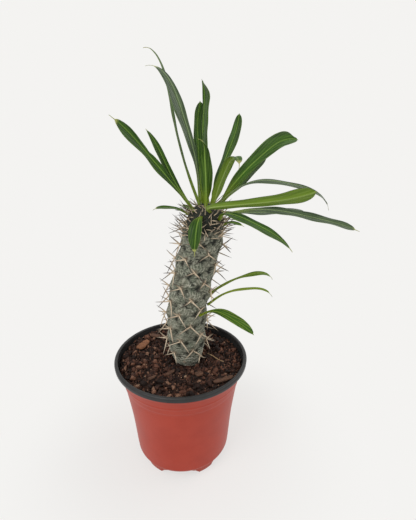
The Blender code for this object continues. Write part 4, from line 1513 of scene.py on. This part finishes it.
    def mark(self, shape: Surface, across: Array, above: Array, share: Array, out: Array) -> None:
        """Gives the leaf's points what its finish reads.

        Args:
            shape: The leaf's skin.
            across: Each column's place from -1 to 1.
            above: 1 for a column on the upper side.
            share: Each row's share of the length.
            out: Each point's distance from the midrib.
        """
        rows, columns = out.shape
        down = np.repeat(share[:, None], columns, axis=1)
        point = 1.0 - self.awn / self.length
        stalk = (1.0 - ease((down - 0.03) / self.stalk_reach)) * 0.85
        awn = ease((down - point + 0.6 * self.awn / self.length) / 0.03)
        fade = 1.0 - 0.55 * down
        blade = np.stack([np.tile(across, (rows, 1)), down, np.tile(above, (rows, 1))], axis=-1)
        ruler = np.stack([out, down * self.length, 0 * out + self.tone], axis=-1)
        zones = np.stack([stalk, awn, fade], axis=-1)
        for label, value in {"blade": blade, "ruler": ruler, "zones": zones}.items():
            flat = value.reshape(-1, 3)
            shape.values[label] = np.vstack([value[0].mean(axis=0), flat, value[-1].mean(axis=0)])

    def cloud(self, stem: Stem) -> Array:
        """Points over the blade, for keeping spines off it."""
        share = np.linspace(0.0, 1.0, 60)
        across = np.linspace(-1.0, 1.0, 9)
        side = self.directions(share)[1]
        left, right = (self.half_width(share, way)[:, None] for way in (1, -1))
        spread = side[:, None] * (across * np.where(across > 0, left, right))[..., None]
        return (self.midrib(stem, share)[:, None] + spread).reshape(-1, 3)


@dataclass
class Foliage:
    """The crown of long narrow leaves, and three that grow from the stem's right."""

    stem: Stem
    fresh_tone: float = 0.65
    # Crown leaves toned below this take the finish with the painted sheen.
    painted_sheen_tone: float = 0.33
    # Most of the lengths, widths, rises, headings, rolls and skews in the rows of crown and side were
    # worked out by a least-squares fit. They are not design values.
    crown: tuple[LeafBlade, ...] = (
        LeafBlade(
            "01", (215, 9.5, 237), 94, (4.6, 8.1, 8.3, 10.4),
            (52, 51, 36), (208, 205, 214), -58, 0.2, 5,
            tone=0.35, ripple=0.5, dents=((0.61, -1, 0.2, 2.5), (0.62, 1, 0.12, 7)),
        ),
        LeafBlade(
            "02", (165, 10, 237.5), 72, (6.2, 7.9, 7.8, 5),
            (51, 65, 49), (165, 166, 169), -26, 0.12, 1.5,
            tone=0.35,
        ),
        LeafBlade(
            "03", (150, 5.5, 240.5), 144, (4.2, 5.6, 5.4, 4),
            (62, 75, -4), (140, 133, 131), 30, 0, 8,
            tone=0.75,
        ),
        LeafBlade(
            "04", (200, 5, 241), 125, (4.5, 8.9, 9.8, 5.3),
            (88, 67, -10), (173, 145, 145), -17, 0.33, 9,
            tone=0.3,
        ),
        LeafBlade(
            "05", (120, 4.5, 241.5), 80, (5.1, 9.8, 9.4, 9.4),
            (73, 85, 133), (115, 117, 112), 20, -0.08, 1,
            tone=0.4,
        ),
        LeafBlade(
            "06", (75, 7.5, 240.5), 121, (5.5, 8.2, 8.2, 12),
            (54, 48, 139), (105, 87, 55), -34, -0.5, 1.5,
            tone=0.45, ripple=0.5, dents=((0.68, 1, 0.22, 4),),
        ),
        LeafBlade(
            "07", (-90, 6.5, 240), 55, (7.2, 9.8, 7.3, 5.9),
            (83, 104, 9), (-70, -76, -177), -27, 0.09, 3,
            tone=0.45,
        ),
        LeafBlade(
            "08", (40, 5.5, 241), 77, (8, 8.9, 11, 9.7),
            (70, 57, 87), (44, 47, 46), -2, -0.08, 0.8,
            tone=0.4,
        ),
        LeafBlade(
            "09", (-50, 7, 240), 64, (8.4, 8.9, 9, 8.2),
            (64, 55, -118), (-59, -58, -72), -5, 0.06, 4,
            tone=0.9,
        ),
        LeafBlade(
            "10", (30, 10, 238), 111, (7.6, 10.7, 13.8, 13.6),
            (48, 27, -15), (34, 42, 22), 54, 0.17, 1.2,
            tone=0.6, ripple=0.4, dents=((0.965, 1, 0.5, 3.5),),
        ),
        LeafBlade(
            "11", (62, 11.5, 237), 74, (4.7, 9.5, 10.3, 8.2),
            (21, 36, 33), (45, 37, 40), 6, -0.03, 1,
            tone=0.64,
        ),
        LeafBlade(
            "12", (5, 9, 239), 103, (4.8, 7.1, 6.9, 5.1),
            (52, -8, -78), (-16, -17, 13), 20, -0.5, 4.5,
            tone=0.3,
        ),
        LeafBlade(
            "13", (-68, 9.5, 238.5), 107, (4.6, 6.8, 8.5, 12),
            (21, 10, 24), (-100, -25, -19), -59, -0.01, 1,
            tone=0.75,
        ),
        LeafBlade(
            "14", (-8, 13.5, 235), 110, (5.7, 9.2, 8.9, 8.7),
            (13, -11, -22), (-10, -8, -8), 25, 0.01, 4,
            tone=0.3, ripple=0.5,
        ),
        LeafBlade(
            "15", (22, 13.5, 235.5), 81, (3.4, 9.8, 9, 10.4),
            (-8, -1, -11), (21, 17, 21), 18, -0.06, 1,
            tone=0.25,
        ),
        LeafBlade(
            "16", (-38, 14.5, 232), 81, (3.6, 9.8, 8.7, 4.9),
            (33, -19, -51), (-85, -29, -32), 15, -0.25, 3,
            tone=0.34, ripple=0.45,
        ),
        LeafBlade(
            "17", (185, 13.5, 235), 30, (5.5, 5.9, 6.4, 5.4),
            (32, 3, -34), (184, 184, 186), -7, 0.04, 2.5,
            tone=0.4,
        ),
        LeafBlade(
            "18", (-105, 13.5, 235.5), 39, (7, 11.3, 10.1, 5.7),
            (7, -64, -89), (-100, -102, -104), 15, -0.19, 4,
            tone=0.34,
        ),
        LeafBlade(
            "19", (-5, 16.5, 227), 17, (3.4, 3.9, 3.7, 2.4),
            (21, -13, -38), (-13, -12, -12), 20, 0, 2,
            tone=0.6, ripple=0.1,
        ),
        LeafBlade(
            "20", (150, 13, 236), 12, (3.4, 3.9, 3.7, 2.4),
            (30, 16, 0), (150, 150, 150), -5, 0, 2,
            tone=0.7, ripple=0.1,
        ),
    )
    side: tuple[LeafBlade, ...] = (
        LeafBlade(
            "1", (25, 18, 156), 71, (3.5, 3, 6.6, 5.7),
            (34, 9, -65), (20, 18, -8), 14, -0.45, 4,
            tone=0.75, ripple=0.2, stalk_reach=0.7,
        ),
        LeafBlade(
            "2", (-8, 18.9, 154), 62, (3.6, 4.7, 4.8, 4.1),
            (39, 11, -65), (4, -12, -8), 0, 0.1, 4,
            tone=0.8, ripple=0.2, stalk_reach=1.3,
        ),
        LeafBlade(
            "3", (-48, 18.5, 149), 58, (4.1, 8.4, 8.6, 5.6),
            (38, -10, -31), (-39, -40, -38), 19, 0.22, 1,
            tone=0.6,
        ),
    )

    old = LeafFinish(
        "crown_leaf_skin",
        (0.042, 0.118, 0.008),
        (0.005, 0.028, 0.003),
        (0.055, 0.12, 0.01),
        (0.01, 0.038, 0.004),
        (0.27, 0.42, 0.08),
        (0.2, 0.29, 0.02),
        (0.42, 0.44, 0.14),
        0.4,
        0.16,
    )
    # Its greyer, paler colours are a painted sheen, the pale surround reflected in the leaves.
    painted_sheen = LeafFinish(
        "crown_leaf_painted_sheen",
        (0.09, 0.135, 0.06),
        (0.006, 0.026, 0.006),
        (0.085, 0.14, 0.045),
        (0.012, 0.04, 0.008),
        (0.32, 0.43, 0.19),
        (0.2, 0.28, 0.03),
        (0.42, 0.44, 0.14),
        0.36,
        0.3,
    )
    fresh = LeafFinish(
        "crown_leaf_bright",
        (0.045, 0.105, 0.02),
        (0.012, 0.05, 0.004),
        (0.14, 0.23, 0.016),
        (0.055, 0.115, 0.004),
        (0.32, 0.43, 0.12),
        (0.2, 0.28, 0.025),
        (0.45, 0.44, 0.14),
        0.42,
        0.22,
        0.14,
        0.12,
    )
    young = LeafFinish(
        "side_leaf_skin",
        (0.035, 0.112, 0.003),
        (0.008, 0.04, 0.002),
        (0.19, 0.27, 0.03),
        (0.13, 0.21, 0.015),
        (0.24, 0.33, 0.05),
        (0.26, 0.33, 0.025),
        (0.4, 0.42, 0.16),
        0.45,
        0.13,
        0.55,
    )

    shoot = LeafFinish(
        "side_leaf_pale",
        (0.13, 0.21, 0.012),
        (0.05, 0.115, 0.004),
        (0.2, 0.28, 0.03),
        (0.14, 0.22, 0.015),
        (0.24, 0.33, 0.05),
        (0.26, 0.33, 0.025),
        (0.4, 0.42, 0.16),
        0.45,
        0.13,
        0.1,
        0.0,
    )

    def cloud(self) -> Array:
        """Points over every leaf."""
        return np.concatenate([leaf.cloud(self.stem) for leaf in self.crown + self.side])

    def build(self) -> list[bpy.types.Object]:
        """Builds every leaf, each for its own CAD node.

        Returns:
            The leaves.
        """
        made = []
        painted_sheen, old, fresh = (each.material() for each in (self.painted_sheen, self.old, self.fresh))
        young, shoot = (each.material() for each in (self.young, self.shoot))
        for prefix, leaves, slot in (("crown", self.crown, Slot.LEAF), ("side", self.side, Slot.SIDE_LEAF)):
            for leaf in leaves:
                name = f"{prefix}_leaf_{leaf.name}"
                finish = fresh if leaf.tone > self.fresh_tone else painted_sheen if leaf.tone < self.painted_sheen_tone else old
                if prefix == "side":
                    finish = shoot if leaf.tone > self.fresh_tone else young
                mesh = leaf.surface(self.stem).mesh(name)
                made.append(place_piece(f"leaf_{name}", mesh, [finish], [name]))
        return made


# ---------------------------------------------------------------- loose bits


@dataclass
class BarkChip:
    """A splinter of bark on the soil: its place, its length, width and thickness, and its turn."""

    number: int
    place: tuple[float, float]
    size: tuple[float, float, float]
    turn: float
    finish: BarkFinish

    def bed(self) -> list[tuple[float, float, float]]:
        """Discs that cover the ground under the chip."""
        length, width = self.size[:2]
        turn = math.radians(self.turn)
        runs = np.linspace(-0.5, 0.5, 7) * (length - width)
        x, y = self.place
        return [(x + run * math.cos(turn), y + run * math.sin(turn), width / 2) for run in runs]

    def surface(self, soil: PottingMix) -> Surface:
        """A loft along the chip: a flat oval section that tapers and frays towards its ends.

        The section's half width is the chip's times (1 - |run| to the power 5) to the power 0.4, run
        going from -1 to 1, and noise roughens it.
        """
        rows, around = 26, 20
        length, width, thick = self.size
        run = np.linspace(-1.0, 1.0, rows)
        taper = (1.0 - np.abs(run) ** 5 * 0.93) ** 0.4 * (1.0 - 0.16 * run)
        angle = np.linspace(0.0, 2.0 * math.pi, around, endpoint=False)
        noise = Lattice(40 + self.number)
        column = np.arange(around)[None, :] * 0.8
        rough = 1.0 + 0.16 * noise.at(column + 0 * run[:, None], run[:, None] * length / 2.2)
        across = width / 2 * taper[:, None] * np.sign(np.cos(angle)) * np.abs(np.cos(angle)) ** 0.6 * rough
        up = thick / 2 * taper[:, None] ** 0.5 * np.sign(np.sin(angle)) * np.abs(np.sin(angle)) ** 0.6 * rough
        fray = 0.05 * length * noise.at(column * 1.7 + 5.0, 0 * run[:, None]) * np.abs(run[:, None]) ** 6
        along = run[:, None] * length / 2 + fray
        along = along + 0 * across
        up = up + 0.2 * thick * (run[:, None] ** 2 - 0.4)
        turn = math.radians(self.turn)
        x = self.place[0] + along * math.cos(turn) - across * math.sin(turn)
        y = self.place[1] + along * math.sin(turn) + across * math.cos(turn)
        rest = float(soil.level(x, y).max()) + SEAT_GAP + thick / 2
        rings = np.stack([x, y, up + rest], axis=-1)
        shape = loft(rings, rings[0].mean(axis=0), rings[-1].mean(axis=0))
        shape.values["tone"] = np.full(len(shape.points), 0.5)
        return shape

    def build(self, soil: PottingMix) -> bpy.types.Object:
        """Builds the chip for its CAD node and returns it."""
        name = f"bark_chip_{self.number}"
        mesh = self.surface(soil).mesh(name, 50.0)
        return place_piece(f"splinter_{self.number}", mesh, [self.finish.material()], [name])


@dataclass
class LooseBits:
    """The bark chips and the one long dry fibre on the soil."""

    fibre_route: tuple[tuple[float, float], ...] = ((24, 12), (29, 6), (34, 0), (39, -5))
    fibre_radius: float = 0.45

    orange = BarkFinish("orange_bark", (0.33, 0.14, 0.065), (0.09, 0.036, 0.018), (0.5, 1.0, 1.0))
    brown = BarkFinish("brown_bark", (0.15, 0.072, 0.042), (0.035, 0.017, 0.011), (0.5, 1.0, 1.0))
    straw = BarkFinish("dry_fibre", (0.52, 0.36, 0.2), (0.28, 0.16, 0.08), (1.0, 1.0, 1.0))

    def chips(self) -> tuple[BarkChip, ...]:
        """The chips, from the largest."""
        return (
            BarkChip(1, (-38, 19), (15, 7.5, 2.4), 62, self.orange),
            BarkChip(2, (-28, 35), (10, 5, 2.0), -12, self.brown),
            BarkChip(3, (38, -30), (18, 4.5, 2.0), 26, self.brown),
            BarkChip(4, (-8, -21), (9, 3.2, 1.6), 48, self.brown),
            BarkChip(5, (17, -23), (7, 5, 2.0), 15, self.brown),
            BarkChip(6, (-23, -29), (8, 3, 1.6), 35, self.brown),
        )

    def fibre_walk(self) -> tuple[Array, Array]:
        """Forty places along the fibre's route."""
        route = np.array(self.fibre_route, float)
        fine = np.linspace(0.0, len(route) - 1.0, 40)
        x, y = (np.interp(fine, np.arange(len(route)), route[:, axis]) for axis in range(2))
        return x, y

    def beds(self) -> tuple[tuple[float, float, float], ...]:
        """Discs that cover the ground under the chips and the fibre."""
        discs = [disc for chip in self.chips() for disc in chip.bed()]
        x, y = self.fibre_walk()
        return (*discs, *zip(x, y, np.full(len(x), 2 * self.fibre_radius)))

    def fibre(self, soil: PottingMix) -> Surface:
        """A tube along the route: level places joined by straight runs, rounded where they meet."""
        route = np.array(self.fibre_route, float)
        x, y = self.fibre_walk()
        fine = np.linspace(0.0, len(route) - 1.0, len(x))
        z = np.interp(fine, np.arange(len(route)), soil.level(*route.T)) + self.fibre_radius + 2 * SEAT_GAP
        path = np.stack([x, y, z], axis=-1)
        path[2:-2] = (path[:-4] + path[1:-3] + path[2:-2] + path[3:-1] + path[4:]) / 5
        share = np.linspace(-1.0, 1.0, len(path))
        radius = self.fibre_radius * (1.0 - 0.55 * np.abs(share) ** 3) * (1.0 + 0.1 * np.sin(9.0 * share))
        shape = taper_tubes(path[None], radius[None], 10)
        shape.values["tone"] = np.full(len(shape.points), 0.5)
        return shape

    def build(self, soil: PottingMix) -> list[bpy.types.Object]:
        """Builds the chips and the fibre and returns them."""
        made = [chip.build(soil) for chip in self.chips()]
        mesh = self.fibre(soil).mesh("fibre")
        return [*made, place_piece("dry_fibre", mesh, [self.straw.material()], ["loose_fibre"])]


# ---------------------------------------------------------------- studio


@dataclass
class Studio:
    """A pale floor without an edge, a pale surround, two soft lamps and the camera."""

    pale: Colour = (0.905, 0.897, 0.88)
    floor_colour: Colour = (0.86, 0.855, 0.84)
    floor_size: float = 3000.0
    shadow_radius: tuple[float, float] = (70.0, 190.0)
    shadow_share: float = 0.3
    surround: float = 0.62
    # The camera's place and pitch were worked out by a least-squares fit.
    camera_place: tuple[float, float, float] = (24.7, -292.3, 308.6)
    camera_pitch: float = 69.26
    lens: float = 26.0

    @staticmethod
    def seen(recipe: Recipe) -> Signal:
        """1 for the rays that show the surround: from the camera, in gloss and through glass."""
        path = recipe.tree.nodes.new("ShaderNodeLightPath")
        rays = [Signal(recipe, path.outputs[name]) for name in ("Is Camera Ray", "Is Glossy Ray")]
        through = Signal(recipe, path.outputs["Is Transmission Ray"])
        return (rays[0] + rays[1] + through).held()

    def floor_material(self) -> bpy.types.Material:
        """Matt near the pot, where it keeps the shadow, and the plain surround's colour further out."""
        recipe = Recipe(bpy.data.materials.new("pale_floor"))
        place = recipe.place()
        reach = recipe.node("ShaderNodeVectorMath", {"operation": "LENGTH"}, place, output="Value")
        low, high = self.shadow_radius
        plain_share = reach.between(low * MM, high * MM) * self.shadow_share + (1.0 - self.shadow_share)
        far = plain_share * self.seen(recipe)
        matt = recipe.node("ShaderNodeBsdfDiffuse", {}, self.floor_colour)
        plain = recipe.node("ShaderNodeEmission", {}, self.pale, 1.0)
        return recipe.closed(recipe.node("ShaderNodeMixShader", {}, far, matt, plain))

    def build_floor(self) -> None:
        """The floor, just under the pot's feet."""
        half = self.floor_size / 2 * MM
        drop = -0.05 * MM
        corners = [(-half, -half, drop), (half, -half, drop), (half, half, drop), (-half, half, drop)]
        mesh = bpy.data.meshes.new("studio_floor")
        mesh.from_pydata(corners, [], [(0, 1, 2, 3)])
        mesh.materials.append(self.floor_material())
        floor = bpy.data.objects.new("studio_floor", mesh)
        bpy.context.scene.collection.objects.link(floor)

    def build_surround(self) -> None:
        """The world: its own colour where it is seen, a plain even light elsewhere."""
        world = bpy.data.worlds.new("pale_surround")
        recipe = Recipe(world)
        seen = recipe.node("ShaderNodeBackground", {}, self.pale, 1.0)
        light = recipe.node("ShaderNodeBackground", {}, (1.0, 1.0, 1.0), self.surround)
        mixed = recipe.node("ShaderNodeMixShader", {}, self.seen(recipe), light, seen)
        end = recipe.tree.nodes.new("ShaderNodeOutputWorld")
        recipe.tree.links.new(mixed.socket, end.inputs["Surface"])
        bpy.context.scene.world = world

    @staticmethod
    def add_lamp(name: str, place: Array, aim: Array, size: float, power: float) -> None:
        """A square soft lamp at a place, turned to its aim.

        Args:
            name: The lamp's name.
            place: Where it hangs, in metres.
            aim: What it points at, in metres.
            size: Its side, in metres.
            power: Its watts.
        """
        lamp = bpy.data.lights.new(name, "AREA")
        lamp.size = size
        lamp.energy = power
        made = bpy.data.objects.new(name, lamp)
        bpy.context.scene.collection.objects.link(made)
        made.location = place
        back = unit(np.array(place) - np.array(aim))
        made.rotation_euler = (math.acos(back[2]), 0.0, math.atan2(back[1], back[0]) + math.pi / 2)

    def build_lamps(self) -> None:
        """A key lamp in front to the left and a weaker one behind to the right."""
        aim = np.array([0.02, 0.0, 0.15])
        self.add_lamp("key_lamp", np.array([-0.55, -0.75, 1.15]), aim, 0.7, 6.5)
        self.add_lamp("fill_lamp", np.array([0.8, 0.25, 0.85]), aim, 0.8, 2.6)

    def build_camera(self) -> None:
        """The camera, in front and above, looking a little down."""
        data = bpy.data.cameras.new("studio_camera")
        data.lens = self.lens
        data.sensor_width = 36.0
        data.clip_start = 0.01
        camera = bpy.data.objects.new("studio_camera", data)
        bpy.context.scene.collection.objects.link(camera)
        camera.location = [value * MM for value in self.camera_place]
        camera.rotation_euler = (math.radians(self.camera_pitch), 0.0, 0.0)
        bpy.context.scene.camera = camera

    def build(self) -> None:
        """Sets the whole studio up."""
        self.build_camera()
        self.build_surround()
        self.build_floor()
        self.build_lamps()
        bpy.context.scene.view_settings.view_transform = "Standard"


def main() -> None:
    """Builds the studio and then the plant, from the pot up."""
    logging.basicConfig(level=logging.INFO, format="%(name)s: %(message)s")
    Studio().build()
    pot = NurseryPot()
    stem = Stem()
    bits = LooseBits()
    soil = PottingMix(pot, stem, kept_clear=bits.beds())
    foliage = Foliage(stem)
    pot.build()
    soil.build_bed()
    soil.build_loose()
    stem.build_skin()
    stem.build_spines(foliage.cloud(), soil)
    foliage.build()
    bits.build(soil)


if __name__ == "__main__":
    main()
